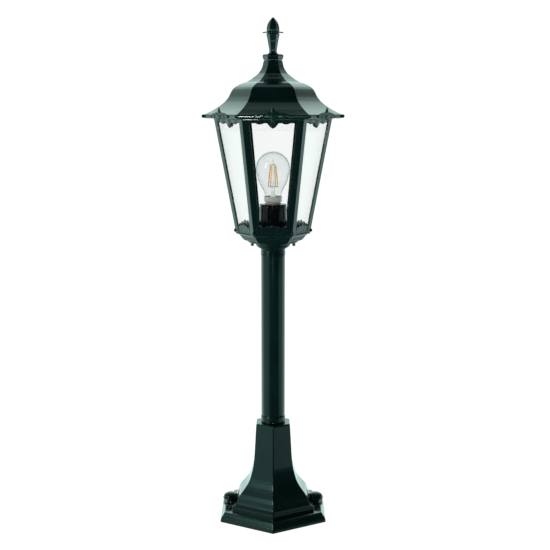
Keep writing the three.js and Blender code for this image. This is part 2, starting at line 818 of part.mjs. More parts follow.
function finialBody() {
  const top = FINIAL_HEIGHT;
  const body = hexTurned([
    [0, 0],
    [8.3, 0],
    [6.5, 3],
    [6.7, 7],
    [7.7, 13],
    [9, 19.6],
    [9.4, 23],
    [10.8, 29.4],
    [11.5, 32.6],
    [9.6, 34],
    [17.7, 34.4],
    [17.7, 36.4],
    [9.6, 36.8],
    [top / 5.6, 37.6],
    [10.8, 41.6],
    [10.2, 46.2],
    [9.5, 49.5],
    [7.7, 52.8],
    [5.5, 56.1],
    [2.6, top - 1.4],
    [0, top],
  ]);
  return body.subtract(post(FINIAL_STUD_RADIUS + BORE_PLAY, -1, 22));
}

function finialNut(seat) {
  const nut = turned(discProfile(6.4, seat - 5, seat), 6);
  return nut.subtract(post(FINIAL_STUD_RADIUS + BORE_PLAY, seat - 6, seat + 1));
}

function addRoof(roof) {
  part(roof, "roof_casting", roofCasting(), greenPaint());
  for (let i = 0; i < 6; i++) {
    const crest = part(roof, `eave_crest_${i + 1}`, eaveCrest(), greenPaint());
    crest.rotation.z = (i * Math.PI) / 3;
  }
  for (let i = 0; i < 3; i++) {
    const screw = part(roof, `roof_screw_${i + 1}`, roofScrew(), zincSteel());
    const angle = (i * 2 * Math.PI) / 3;
    const [x, y] = [ROOF_SCREW_SPREAD * Math.cos(angle), ROOF_SCREW_SPREAD * Math.sin(angle)];
    screw.position.set(x, y, 0);
  }
  const collar = part(roof, "finial_collar", finialCollar(), greenPaint());
  collar.position.z = ROOF_HEIGHT + GAP;
  const finial = part(roof, "finial", finialBody(), greenPaint());
  finial.position.z = ROOF_HEIGHT + 10 + 2 * GAP;
  const seat = ROOF_HEIGHT * 0.745 - GAP;
  part(roof, "finial_nut", finialNut(seat), zincSteel());
  const stud = post(FINIAL_STUD_RADIUS, seat - 6.5, ROOF_HEIGHT + 31, 0, 0, 12);
  part(roof, "finial_stud", stud, zincSteel());
}

// Lampholder and bulb. Heights here count from the underside of the bracket.

function holderBracket() {
  const width = 2 * HOLDER_RADIUS - 6;
  const depth = HOLDER_RADIUS - 2;
  const high = BRACKET_HEIGHT;
  const metal = BRACKET_METAL;
  let strap = block(width, depth, high, 0, 0, high / 2);
  const inside = block(width - 2 * metal, depth + 2, high - 2 * metal, 0, 0, high / 2);
  strap = strap.subtract(inside).subtract(post(ROD_RADIUS + BORE_PLAY, -1, metal + 1));
  return strap.subtract(post(LEAD_RADIUS + BORE_PLAY + 1, high - metal - 1, high + 1));
}

const HOLDER_Z = BRACKET_HEIGHT + GAP;
const HOLDER_TOP = HOLDER_Z + HOLDER_HEIGHT;
const CAP_FOOT = HOLDER_TOP - CAP_LENGTH / 2;
const SLEEVE_INSIDE = CAP_RADIUS + THREAD_PLAY;
const SLEEVE_OUTSIDE = SLEEVE_INSIDE + THREAD_METAL;

function holderShell() {
  const floor = CAP_FOOT - 14;
  const bore = SLEEVE_OUTSIDE + GAP;
  return turned([
    [LEAD_RADIUS + BORE_PLAY, HOLDER_Z],
    [HOLDER_RADIUS - 1, HOLDER_Z],
    [HOLDER_RADIUS, HOLDER_Z + 1],
    [HOLDER_RADIUS, HOLDER_TOP - 1.4],
    [HOLDER_RADIUS - 0.5, HOLDER_TOP - 0.4],
    [HOLDER_RADIUS - 1.5, HOLDER_TOP],
    [bore, HOLDER_TOP],
    [bore, floor],
    [LEAD_RADIUS + BORE_PLAY, floor],
    [LEAD_RADIUS + BORE_PLAY, HOLDER_Z],
  ], 24);
}

function holderContact() {
  const floor = CAP_FOOT - 14 + GAP;
  const tip = CAP_FOOT - 2.1 - GAP;
  return turned([[0, floor], [9, floor], [9, floor + 1], [3.4, floor + 1.2], [4, tip], [0, tip]], 16);
}

function bulbCap() {
  const inside = CAP_RADIUS - 0.8;
  const neck = BULB_NECK + BULB_GLASS / 2;
  return turned([
    [5.4, CAP_FOOT - 1.4],
    [7.4, CAP_FOOT - 1.4],
    [CAP_RADIUS - 0.6, CAP_FOOT + 2],
    [CAP_RADIUS, CAP_FOOT + 3.2],
    [CAP_RADIUS, CAP_FOOT + 16],
    [neck + 1.2, CAP_FOOT + 17.4],
    [neck + 1.4, CAP_FOOT + CAP_LENGTH],
    [neck + GAP, CAP_FOOT + CAP_LENGTH],
    [neck + GAP, CAP_FOOT + 18.4],
    [inside, CAP_FOOT + 17],
    [inside, CAP_FOOT + 3.4],
    [5.4, CAP_FOOT + 0.4],
    [5.4, CAP_FOOT - 1.4],
  ], 20);
}

function bulbContact() {
  const foot = CAP_FOOT - 2.1;
  return turned([[0, foot], [4.4, foot], [5, foot + 0.6], [5, CAP_FOOT + 0.2], [0, CAP_FOOT + 0.2]], 16);
}

const BULB_NECK = 13.6;
const BULB_FOOT = CAP_FOOT + 18.6;
const BULB_TOP = CAP_FOOT - 2 + BULB_LENGTH;
const BULB_CENTRE = BULB_TOP - BULB_RADIUS;

// The outside of the glass, from the neck over the globe to the top of the axis.
function globeProfile() {
  const wide = BULB_RADIUS;
  const low = BULB_CENTRE - BULB_FOOT;
  const points = [[BULB_NECK, BULB_FOOT], [BULB_NECK, BULB_FOOT + 8]];
  const blend = [[0.26, 0.09], [0.36, 0.25], [0.46, 0.45], [0.56, 0.63], [0.66, 0.775]];
  for (const [up, out] of blend) {
    points.push([BULB_NECK + (wide - BULB_NECK) * out, BULB_FOOT + low * up]);
  }
  for (let i = 0; i <= 7; i++) {
    const angle = ((-22.5 + (112.5 * i) / 7) * Math.PI) / 180;
    points.push([wide * Math.cos(angle), BULB_CENTRE + wide * Math.sin(angle)]);
  }
  points[points.length - 1][0] = 0;
  return points;
}

function bulbGlobe() {
  const outside = globeProfile();
  const inside = outside.map(([radius, height], i) => {
    const [r0, z0] = outside[Math.max(i - 1, 0)];
    const [r1, z1] = outside[Math.min(i + 1, outside.length - 1)];
    const length = Math.hypot(r1 - r0, z1 - z0);
    const last = i === outside.length - 1;
    if (last) return [0, height - BULB_GLASS];
    return [radius - ((z1 - z0) / length) * BULB_GLASS, height + ((r1 - r0) / length) * BULB_GLASS];
  });
  inside[0][1] = BULB_FOOT - 1;
  const solid = turned([[0, BULB_FOOT], ...outside], 20);
  return solid.subtract(turned([[0, BULB_FOOT - 1], ...inside], 20));
}

const STEM_RADIUS = 3.6;
const FILAMENT_LENGTH = 38;

function bulbStem() {
  const foot = BULB_FOOT + 1;
  const top = BULB_CENTRE + 17;
  return turned([
    [0, foot],
    [BULB_NECK - BULB_GLASS - 1, foot],
    [BULB_NECK - BULB_GLASS - 1, foot + 1.2],
    [STEM_RADIUS, foot + 8],
    [STEM_RADIUS, foot + 29],
    [1.6, foot + 33],
    [1.3, top],
    [0, top],
  ], 12);
}

function bulbFilaments() {
  const low = BULB_FOOT + 25;
  const high = low + FILAMENT_LENGTH;
  const solids = [
    turned(ringProfile(STEM_RADIUS + GAP, 8.6, low - 1, low + 0.2), 16),
    turned(ringProfile(1.9, 5.2, high - 0.2, high + 0.8), 12),
  ];
  for (let i = 0; i < 4; i++) {
    const angle = (i * Math.PI) / 2 + 0.5;
    const [c, s] = [Math.cos(angle), Math.sin(angle)];
    solids.push(rod(0.9, [7.6 * c, 7.6 * s, low - 0.6], [4.2 * c, 4.2 * s, high + 0.4], 6));
  }
  return joined(solids);
}

function addLamp(lamp) {
  part(lamp, "lampholder_bracket", holderBracket(), zincSteel());
  part(lamp, "lampholder_shell", holderShell(), blackPlastic());
  const sleeve = ringProfile(SLEEVE_INSIDE, SLEEVE_OUTSIDE, CAP_FOOT - 6, HOLDER_TOP - 2.5);
  part(lamp, "lampholder_sleeve", turned(sleeve, 20), brass());
  part(lamp, "lampholder_contact", holderContact(), brass());
  part(lamp, "bulb_cap", bulbCap(), nickel());
  part(lamp, "bulb_contact", bulbContact(), nickel());
  part(lamp, "bulb_globe", bulbGlobe(), clearGlass());
  part(lamp, "bulb_stem", bulbStem(), clearGlass());
  part(lamp, "bulb_filaments", bulbFilaments(), finish(0xd9a441, 0.5, 0));
}

// Assembly

const lantern = new THREE.Group();
const pedestal = new THREE.Group();
lantern.add(pedestal);
part(pedestal, "base_casting", baseCasting(), greenPaint());
addAnchors(pedestal);
addPost(lantern);

const head = new THREE.Group();
head.position.z = HEAD_Z;
lantern.add(head);
addBowl(head);

const lamp = new THREE.Group();
lamp.position.z = BOWL_FLOOR + GAP;
head.add(lamp);
addLamp(lamp);

const cage = new THREE.Group();
cage.position.z = CAGE_Z;
head.add(cage);
addCage(cage);

const roof = new THREE.Group();
roof.position.z = ROOF_Z;
cage.add(roof);
addRoof(roof);

export default lantern;
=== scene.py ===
import math

import bmesh
import bpy
from mathutils import Matrix, Vector


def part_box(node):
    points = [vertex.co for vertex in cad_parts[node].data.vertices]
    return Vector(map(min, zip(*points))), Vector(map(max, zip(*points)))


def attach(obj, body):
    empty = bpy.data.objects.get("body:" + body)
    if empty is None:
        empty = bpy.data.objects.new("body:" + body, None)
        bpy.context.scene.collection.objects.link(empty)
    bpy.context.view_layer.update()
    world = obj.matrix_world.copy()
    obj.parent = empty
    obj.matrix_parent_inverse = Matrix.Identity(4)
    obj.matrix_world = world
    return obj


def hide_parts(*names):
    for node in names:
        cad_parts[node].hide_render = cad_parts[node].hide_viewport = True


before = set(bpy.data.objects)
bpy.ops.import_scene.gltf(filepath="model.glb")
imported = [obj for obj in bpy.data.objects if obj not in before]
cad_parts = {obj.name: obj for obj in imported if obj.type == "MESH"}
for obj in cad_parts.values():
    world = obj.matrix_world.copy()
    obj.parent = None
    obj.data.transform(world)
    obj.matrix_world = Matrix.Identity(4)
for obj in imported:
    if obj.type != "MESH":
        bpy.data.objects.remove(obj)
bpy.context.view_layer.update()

bl_info = {
    "name": "Garden Post Lantern",
    "version": (1, 0, 0),
    "blender": (4, 5, 0),
    "location": "View3D > Sidebar > Lantern",
    "description": "Builds a six-sided garden post lantern piece by piece",
    "category": "Add Mesh",
}

MM = 0.001
SIXTH = math.pi / 3
COS30 = math.cos(math.pi / 6)
TAN30 = math.tan(math.pi / 6)
CORNER_IN_FRONT = math.pi / 2
CORNERS_ON_X = 0.0
CREASE = 34


def span(node):
    """The lowest and highest corner of a frame node, in millimetres."""
    low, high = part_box(node)
    return low / MM, high / MM


# Sizes and places that several pieces share, in millimetres.
GAP = 0.3
ROD_HOLE = 5.4
ANCHOR_HOLE = 6.3
THUMB_HOLE = 3.2
TUBE_WALL = 2
BAR_FLANGE = 11.5
BAR_METAL = 2.2
PLATE_METAL = BAR_METAL - GAP
PANE_GLASS = 3
BASE = span("base_casting")[1]
NUT_LOW, NUT_HIGH = span("anchor_nut_right")
TUBE_LOW, TUBE_HIGH = span("post_tube")
COLLAR_LOW, COLLAR_HIGH = span("tube_collar")
BOWL_HIGH = span("bowl_casting")[1]
THUMB_LOW, THUMB_HIGH = span("thumb_nut_right")
FLOOR_LOW, FLOOR_HIGH = span("cage_floor")
CROWN_HIGH = span("cage_crown")[1]
PANE_LOW, PANE_HIGH = span("glass_pane_1")
ROOF_LOW, ROOF_HIGH = span("roof_casting")
FINIAL_LOW = span("finial")[0]
SHELL_LOW, SHELL_HIGH = span("lampholder_shell")
CAP_LOW, CAP_HIGH = span("bulb_cap")
GLOBE_LOW, GLOBE_HIGH = span("bulb_globe")
TUBE_RADIUS = TUBE_HIGH.y
HEAD_Z = TUBE_HIGH.z + GAP
NICHE_X = (NUT_LOW.x + NUT_HIGH.x) / 2
THUMB_X = (THUMB_LOW.x + THUMB_HIGH.x) / 2
CAGE_LOW, CAGE_HIGH = PANE_LOW.z, PANE_HIGH.z + 1.2
CAGE_FOOT = FLOOR_HIGH.x
CAGE_TOP = CROWN_HIGH.x - 0.6
CAGE_SLOPE = (CAGE_TOP - CAGE_FOOT) / (CAGE_HIGH - CAGE_LOW)
SLOPED = math.sqrt(1 + (CAGE_SLOPE * COS30) ** 2)
ROOF_Z = ROOF_LOW.z
RIM = ROOF_HIGH.y / COS30 - 4.5
SIDES = (("left", "l", -1), ("right", "r", 1))


# Settings


class LanternPaint(bpy.types.PropertyGroup):
    """Colours and gloss of the enamel and the glass."""

    enamel: bpy.props.FloatVectorProperty(
        name="Enamel",
        description="Colour of the green enamel",
        subtype="COLOR",
        size=3,
        default=(0.0024, 0.0185, 0.0165),
    )
    enamel_deep: bpy.props.FloatVectorProperty(
        name="Deep enamel",
        description="Colour where the enamel has pooled",
        subtype="COLOR",
        size=3,
        default=(0.0008, 0.0110, 0.0110),
    )
    enamel_gloss: bpy.props.FloatProperty(
        name="Enamel roughness",
        description="Roughness of the enamel under its gloss coat",
        default=0.2,
        min=0.0,
        max=1.0,
        subtype="FACTOR",
    )
    glass_tint: bpy.props.FloatVectorProperty(
        name="Pane tint",
        description="Colour that a face of a pane lets through",
        subtype="COLOR",
        size=3,
        default=(0.99, 0.994, 0.992),
    )
    filament_glow: bpy.props.FloatVectorProperty(
        name="Filament",
        description="Colour of the filaments' phosphor",
        subtype="COLOR",
        size=3,
        default=(0.95, 0.58, 0.17),
    )


class LanternCasting(bpy.types.PropertyGroup):
    """Roundness and fineness of the castings."""

    arris: bpy.props.FloatProperty(
        name="Arris radius",
        description="Radius of a casting's upright edges",
        default=0.0014,
        min=0.0002,
        max=0.01,
        unit="LENGTH",
    )
    edge: bpy.props.FloatProperty(
        name="Edge radius",
        description="How far a casting's level edges are eased",
        default=0.0009,
        min=0.0001,
        max=0.01,
        unit="LENGTH",
    )
    sides: bpy.props.IntProperty(
        name="Sides",
        description="Facets round a turned piece",
        default=72,
        min=24,
        max=256,
    )


class LanternStage(bpy.types.PropertyGroup):
    """Floor, light and camera."""

    floor_size: bpy.props.FloatProperty(
        name="Floor radius",
        description="Radius of the round floor",
        default=30.0,
        min=1.0,
        unit="LENGTH",
    )
    floor_colour: bpy.props.FloatVectorProperty(
        name="Floor",
        description="Colour of the floor",
        subtype="COLOR",
        size=3,
        default=(0.9, 0.9, 0.9),
    )
    lens: bpy.props.FloatProperty(
        name="Lens",
        description="Focal length of the camera, in millimetres",
        default=69.09,
        min=10.0,
        unit="CAMERA",
    )
    backdrop: bpy.props.FloatProperty(
        name="Backdrop",
        description="Strength of the light from behind and beside the lantern",
        default=1.0,
        min=0.0,
    )


# Shader trees


class Wire:
    """A socket of a shader tree, usable in Python expressions on values."""

    def __init__(self, tree, socket=None):
        self.tree = tree
        self.socket = socket

    def node(self, kind, settings=None, values=None, output=0):
        """Adds a node: its settings first, then the values or links of its sockets."""
        made = self.tree.nodes.new(kind)
        for name, value in (settings or {}).items():
            setattr(made, name, value)
        for name, value in (values or {}).items():
            target = made.inputs[name]
            if isinstance(value, Wire):
                self.tree.links.new(value.socket, target)
            else:
                target.default_value = value
        return Wire(self.tree, made.outputs[output] if len(made.outputs) else None)

    def maths(self, operation, first, second):
        """One step of arithmetic on two values."""
        return self.node("ShaderNodeMath", {"operation": operation}, {0: first, 1: second})

    def __add__(self, other):
        return self.maths("ADD", self, other)

    __radd__ = __add__

    def __mul__(self, other):
        return self.maths("MULTIPLY", self, other)

    __rmul__ = __mul__

    def __sub__(self, other):
        return self.maths("SUBTRACT", self, other)

    def __rsub__(self, other):
        return self.maths("SUBTRACT", other, self)

    def __pow__(self, other):
        return self.maths("POWER", self, other)

    def place(self, scale=(1.0, 1.0, 1.0)):
        """Object coordinates, stretched."""
        spot = self.node("ShaderNodeTexCoord", output="Object")
        return self.node("ShaderNodeVectorMath", {"operation": "MULTIPLY"}, {0: spot, 1: scale})

    def noise(self, scale, detail=2.0, stretch=(1.0, 1.0, 1.0)):
        """Soft noise from 0 to 1 in the object's own space."""
        values = {"Vector": self.place(stretch), "Scale": scale, "Detail": detail}
        return self.node("ShaderNodeTexNoise", None, values)

    def between(self, factor, low, high):
        """A mix of two colours."""
        values = {0: factor, 6: (*low, 1.0), 7: (*high, 1.0)}
        return self.node("ShaderNodeMix", {"data_type": "RGBA"}, values, 2)

    def ease(self, value, low, high):
        """0 below low, 1 above high, smooth between them."""
        settings = {"interpolation_type": "SMOOTHSTEP"}
        return self.node("ShaderNodeMapRange", settings, {0: value, 1: low, 2: high})


def new_material(name):
    """An empty material and the wire to build its nodes with."""
    material = bpy.data.materials.new(name)
    material.use_nodes = True
    material.node_tree.nodes.clear()
    return material, Wire(material.node_tree)


def close_material(wire, shader):
    """Ends a material in its surface output."""
    wire.node("ShaderNodeOutputMaterial", None, {"Surface": shader})


def principled(wire, values):
    """The standard surface with some of its sockets set."""
    return wire.node("ShaderNodeBsdfPrincipled", None, values)


def bumped(wire, height, distance, strength):
    """A normal that follows a height, its depth in metres."""
    values = {"Strength": strength, "Distance": distance, "Height": height}
    return wire.node("ShaderNodeBump", None, values)


def enamel_material():
    """Gloss fir-green enamel on a casting, with a fine peel and soft pooling."""
    paint = bpy.context.scene.lantern_paint
    material, wire = new_material("green_enamel")
    pool = wire.noise(14.0, 3.0)
    peel = wire.noise(620.0, 2.0)
    swell = wire.noise(55.0, 2.0)
    specks = wire.node(
        "ShaderNodeTexVoronoi", {"feature": "F1"}, {"Vector": wire.place(), "Scale": 260.0}
    )
    dust = 1 - wire.ease(specks, 0.03, 0.09)
    colour = wire.between(wire.ease(pool, 0.35, 0.68), paint.enamel_deep, paint.enamel)
    rough = paint.enamel_gloss + 0.1 * swell + 0.12 * dust
    height = swell * 0.85 + peel * 0.15
    shader = principled(
        wire,
        {
            "Base Color": colour,
            "Roughness": rough,
            "IOR": 1.6,
            "Specular Tint": (0.45, 1.0, 0.92, 1.0),
            "Coat Weight": 1.0,
            "Coat Roughness": 0.035,
            "Coat IOR": 1.5,
            "Normal": bumped(wire, height, 0.00004, 0.25),
        },
    )
    close_material(wire, shader)
    return material


def metal_material(name, light, dark, rough, metallic=1.0):
    """Plated or bare metal with a fine drawn grain and cloudy tarnish."""
    material, wire = new_material(name)
    cloud = wire.noise(70.0, 4.0)
    drawn = wire.noise(12.0, 3.0, (40.0, 40.0, 400.0))
    colour = wire.between(wire.ease(cloud, 0.3, 0.7), dark, light)
    shader = principled(
        wire,
        {
            "Base Color": colour,
            "Metallic": metallic,
            "Roughness": rough + 0.16 * cloud,
            "Normal": bumped(wire, drawn, 0.00003, 0.4),
        },
    )
    close_material(wire, shader)
    return material


def plastic_material(name, colour, deep, rough):
    """Moulded plastic with a faint flow pattern."""
    material, wire = new_material(name)
    flow = wire.noise(90.0, 3.0, (1.0, 1.0, 0.4))
    grain = wire.noise(1500.0, 1.0)
    shader = principled(
        wire,
        {
            "Base Color": wire.between(flow, deep, colour),
            "Roughness": rough + 0.08 * flow,
            "Coat Weight": 0.35,
            "Coat Roughness": 0.05,
            "Normal": bumped(wire, grain * 0.4 + flow * 0.6, 0.00003, 0.3),
        },
    )
    close_material(wire, shader)
    return material


def glass_material(name, tint, edge, haze, rim=0.0):
    """Clear glass: a film that mirrors more towards its edge, where painted shade can also darken
    it.
    """
    material, wire = new_material(name)
    facing = wire.node("ShaderNodeLayerWeight", None, {"Blend": 0.5}, "Facing")
    smear = wire.noise(18.0, 3.0, (1.0, 1.0, 0.35))
    clear = wire.node("ShaderNodeBsdfTransparent", None, {"Color": (*tint, 1.0)})
    wave = wire.noise(30.0, 1.0)
    mirror = wire.node(
        "ShaderNodeBsdfGlossy",
        None,
        {
            "Color": (0.96, 0.985, 0.98, 1.0),
            "Roughness": 0.03,
            "Normal": bumped(wire, wave, 0.0002, 0.15),
        },
    )
    factor = 0.035 + edge * facing**4.0 + haze * wire.ease(smear, 0.45, 0.8)
    film = wire.node("ShaderNodeMixShader", None, {0: factor, 1: clear, 2: mirror})
    # The dark tint that rim mixes in is painted shade: a dark band along the glass's outline, in
    # place of the dark edge that refraction gives.
    thick = wire.node("ShaderNodeBsdfTransparent", None, {"Color": (0.3, 0.38, 0.39, 1.0)})
    share = rim * facing**5.0
    shader = wire.node("ShaderNodeMixShader", None, {0: share, 1: film, 2: thick})
    close_material(wire, shader)
    return material


def stem_material():
    """Pressed glass of the bulb's stem, milky where it is thick, with a painted glow that keeps
    it bright.
    """
    material, wire = new_material("stem_glass")
    milk = wire.noise(120.0, 2.0)
    clear = wire.node("ShaderNodeBsdfTransparent", None, {"Color": (0.97, 0.985, 0.985, 1.0)})
    pale = principled(
        wire,
        {
            "Base Color": wire.between(milk, (0.72, 0.76, 0.76), (0.9, 0.92, 0.92)),
            "Roughness": 0.2,
            # The emission is painted light: the stem glows a little though it is no lamp.
            "Emission Color": (0.8, 0.84, 0.83, 1.0),
            "Emission Strength": 0.5,
        },
    )
    share = 0.7 + 0.25 * milk
    shader = wire.node("ShaderNodeMixShader", None, {0: share, 1: clear, 2: pale})
    close_material(wire, shader)
    return material


def filament_material():
    """Phosphor beads of a filament lamp, amber and faintly lit."""
    glow = bpy.context.scene.lantern_paint.filament_glow
    material, wire = new_material("filament_phosphor")
    beads = wire.node(
        "ShaderNodeTexWave",
        {"wave_type": "BANDS", "bands_direction": "Z"},
        {"Vector": wire.place(), "Scale": 160.0, "Distortion": 0.4},
        1,
    )
    colour = wire.between(beads, [part * 0.75 for part in glow], glow)
    shader = principled(
        wire,
        {
            "Base Color": colour,
            "Roughness": 0.45 + 0.2 * beads,
            "Emission Color": colour,
            "Emission Strength": 0.35,
        },
    )
    close_material(wire, shader)
    return material


FINISHES = {
    "green_paint": enamel_material,
    "zinc_steel": lambda: metal_material(
        "bright_zinc", (0.62, 0.63, 0.64), (0.4, 0.41, 0.42), 0.26
    ),
    "contact_brass": lambda: metal_material(
        "contact_brass", (0.78, 0.56, 0.24), (0.52, 0.34, 0.12), 0.22
    ),
    "bulb_nickel": lambda: metal_material(
        "cap_nickel", (0.97, 0.96, 0.9), (0.88, 0.87, 0.8), 0.3, 0.15
    ),
    "black_plastic": lambda: plastic_material(
        "black_sheath", (0.012, 0.012, 0.013), (0.006, 0.006, 0.007), 0.42
    ),
    "holder_black": lambda: plastic_material(
        "gloss_black_moulding", (0.002, 0.0055, 0.007), (0.001, 0.003, 0.004), 0.1
    ),
    "pane_glass": lambda: glass_material(
        "pane_glass", bpy.context.scene.lantern_paint.glass_tint, 0.5, 0.015
    ),
    # The bulb glass's last value, 0.9, sets the strength of its painted dark edge.
    "bulb_glass": lambda: glass_material(
        "bulb_glass", (0.985, 0.992, 0.992), 0.12, 0.01, 0.9
    ),
    "filament_amber": filament_material,
}


def finish_of(slot):
    """The material of a record slot, made once."""
    found = bpy.data.materials.get(f"finish_{slot}")
    if found is None:
        found = FINISHES[slot]()
        found.name = f"finish_{slot}"
    return found


# Sections and lofts, in millimetres


def soften(points, cut, closed=False, steps=4):
    """A line of points with its corners eased by at most cut."""
    spots = [Vector(p) for p in points]
    made = []
    last = len(spots) - 1
    for i, spot in enumerate(spots):
        if not closed and i in (0, last):
            made.append(spot)
            continue
        before = spots[i - 1] - spot
        after = spots[(i + 1) % len(spots)] - spot
        reach_in = min(cut, before.length * 0.46)
        reach_out = min(cut, after.length * 0.46)
        if min(before.length, after.length) < 1e-6:
            made.append(spot)
            continue
        start = spot + before.normalized() * reach_in
        end = spot + after.normalized() * reach_out
        for k in range(steps + 1):
            t = k / steps
            made.append(start * (1 - t) ** 2 + spot * 2 * t * (1 - t) + end * t * t)
    return made


def hex_ring(radius, height, turn, arris):
    """Points round a hexagon of a corner radius, its arrises rounded."""
    arris = min(arris, radius * 0.4)
    middle = radius - arris / COS30
    flat = radius - 2 * arris * TAN30
    hold = min(arris * 0.8, flat * 0.25)
    points = []
    for k in range(6):
        corner = turn + k * SIXTH
        centre = Vector((math.cos(corner), math.sin(corner))) * middle
        ends = []
        for step in (-1.0, -0.5, 0.0, 0.5, 1.0):
            angle = corner + step * math.pi / 6
            ends.append(centre + Vector((math.cos(angle), math.sin(angle))) * arris)
        first, final = corner - math.pi / 6, corner + math.pi / 6
        before = ends[0] + Vector((math.sin(first), -math.cos(first))) * hold
        after = ends[-1] + Vector((-math.sin(final), math.cos(final))) * hold
        points += [before, *ends, after]
    return [Vector((p.x, p.y, height)) for p in points]


def round_ring(radius, height, sides, flutes=0, depth=0.0):
    """Points round a circle, with flutes of a depth if it has any."""
    points = []
    for k in range(sides):
        angle = 2 * math.pi * k / sides
        reach = radius - depth * (0.5 + 0.5 * math.cos(flutes * angle))
        points.append(Vector((reach * math.cos(angle), reach * math.sin(angle), height)))
    return points


def skin(rings, loop=False):
    """A closed mesh through rings of as many points each."""
    shape = bmesh.new()
    rows = [[shape.verts.new(point * MM) for point in ring] for ring in rings]
    pairs = list(zip(rows, rows[1:]))
    if loop:
        pairs.append((rows[-1], rows[0]))
    for low, high in pairs:
        for i in range(len(low)):
            j = (i + 1) % len(low)
            shape.faces.new((low[i], low[j], high[j], high[i]))
    if not loop:
        shape.faces.new(list(reversed(rows[0])))
        shape.faces.new(rows[-1])
    return close_mesh(shape)


def close_mesh(shape, angle=CREASE):
    """The finished mesh of a bmesh, its doubles and slivers cleared away."""
    bmesh.ops.remove_doubles(shape, verts=shape.verts, dist=2e-6)
    thin = [edge for edge in shape.edges if not edge.link_faces]
    bmesh.ops.delete(shape, geom=thin, context="EDGES")
    bmesh.ops.dissolve_degenerate(shape, edges=shape.edges, dist=1e-7)
    bmesh.ops.recalc_face_normals(shape, faces=shape.faces)
    mesh = bpy.data.meshes.new("piece")
    shape.to_mesh(mesh)
    shape.free()
    return eased(mesh, angle)


def eased(mesh, angle=CREASE):
    """Smooth faces that stay crisp at edges sharper than an angle."""
    mesh.polygons.foreach_set("use_smooth", [True] * len(mesh.polygons))
    mesh.set_sharp_from_angle(angle=math.radians(angle))
    return mesh


def hexed(profile, turn, lift=0.0, cut=None, arris=None, loop=False):
    """A six-sided body from [corner radius, height] points."""
    casting = bpy.context.scene.lantern_casting
    cut = casting.edge / MM if cut is None else cut
    arris = casting.arris / MM if arris is None else arris
    line = soften(profile, cut, loop)
    return skin([hex_ring(max(r, 1e-4), z + lift, turn, arris) for r, z in line], loop)


def turned(profile, lift=0.0, cut=None, loop=False, sides=None, flutes=0, depth=0.0):
    """A round body from [radius, height] points."""
    casting = bpy.context.scene.lantern_casting
    cut = casting.edge / MM if cut is None else cut
    sides = sides or casting.sides
    line = soften(profile, cut, loop)
    rings = [round_ring(max(r, 1e-4), z + lift, sides, flutes, depth) for r, z in line]
    return skin(rings, loop)


def shifted(mesh, x=0.0, y=0.0, z=0.0):
    """A mesh moved by millimetres."""
    mesh.transform(Matrix.Translation((x * MM, y * MM, z * MM)))
    return mesh


def drum(radius, low, high, x=0.0, sides=64):
    """An upright cylinder for cutting and joining."""
    return shifted(skin([round_ring(radius, z, sides) for z in (low, high)]), x)


def inset(profile, wall):
    """A hexagonal profile moved inwards by a wall, square to its flats."""
    flat = [Vector((radius * COS30, height)) for radius, height in profile]
    made = []
    for i, spot in enumerate(flat):
        along = flat[min(i + 1, len(flat) - 1)] - flat[max(i - 1, 0)]
        along.normalize()
        made.append(((spot.x - along.y * wall) / COS30, spot.y + along.x * wall))
    return made


def curve_between(shares, foot, top):
    """Points from a foot to a top, given as [share of rise, share of spread]."""
    return [
        (top[0] + (foot[0] - top[0]) * out, foot[1] + (top[1] - foot[1]) * up)
        for up, out in shares
    ]


def carve(mesh, tools, operation="DIFFERENCE"):
    """A mesh cut by, or joined with, other meshes."""
    scene = bpy.context.scene
    blank = bpy.data.objects.new("blank", mesh)
    scene.collection.objects.link(blank)
    helpers = [blank]
    for tool in tools:
        helper = bpy.data.objects.new("tool", tool)
        scene.collection.objects.link(helper)
        helpers.append(helper)
        step = blank.modifiers.new("carve", "BOOLEAN")
        step.operation = operation
        step.solver = "EXACT"
        step.use_hole_tolerant = True
        step.object = helper
    bpy.context.view_layer.update()
    held = blank.evaluated_get(bpy.context.evaluated_depsgraph_get())
    made = bpy.data.meshes.new_from_object(held)
    for helper in helpers:
        bpy.data.objects.remove(helper)
    if len(made.polygons) == 0:
        raise RuntimeError("a cut left nothing of a piece")
    return eased(made)


def sweep(path, section_at, closed_path=False):
    """A section carried along a flat path in X and Z; section_at gives [across, Y] points."""
    rings = []
    count = len(path)
    for i, spot in enumerate(path):
        if closed_path:
            along = path[(i + 1) % count] - path[i - 1]
        else:
            along = path[min(i + 1, count - 1)] - path[max(i - 1, 0)]
        along.normalize()
        side = Vector((along.y, -along.x))
        ring = []
        for across, deep in section_at(i / max(count - 1, 1)):
            flat = spot + side * across
            ring.append(Vector((flat.x, deep, flat.y)))
        rings.append(ring)
    return skin(rings, closed_path)


def joined(meshes):
    """Several closed meshes as one mesh."""
    shape = bmesh.new()
    for mesh in meshes:
        shape.from_mesh(mesh)
    made = bpy.data.meshes.new("piece")
    shape.to_mesh(made)
    shape.free()
    return made


def fused(meshes, grain):
    """Overlapping meshes run together like one pour of metal, with soft joins."""
    piece = bpy.data.objects.new("pour", joined(meshes))
    bpy.context.scene.collection.objects.link(piece)
    flow = piece.modifiers.new("flow", "REMESH")
    flow.mode = "VOXEL"
    flow.voxel_size = grain * MM
    calm = piece.modifiers.new("calm", "SMOOTH")
    calm.iterations = 1
    calm.factor = 0.5
    bpy.context.view_layer.update()
    held = piece.evaluated_get(bpy.context.evaluated_depsgraph_get())
    made = bpy.data.meshes.new_from_object(held)
    bpy.data.objects.remove(piece)
    made.polygons.foreach_set("use_smooth", [True] * len(made.polygons))
    return made


def settle(name, mesh, slot, body, nodes=(), turn=0.0):
    """Places a piece on its body, with its finish and the nodes it stands for."""
    piece = bpy.data.objects.new(name, mesh)
    bpy.context.scene.collection.objects.link(piece)
    if turn:
        piece.matrix_world = Matrix.Rotation(turn, 4, "Z")
    if not mesh.materials:
        mesh.materials.append(finish_of(slot))
    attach(piece, body)
    if nodes:
        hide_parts(*nodes)


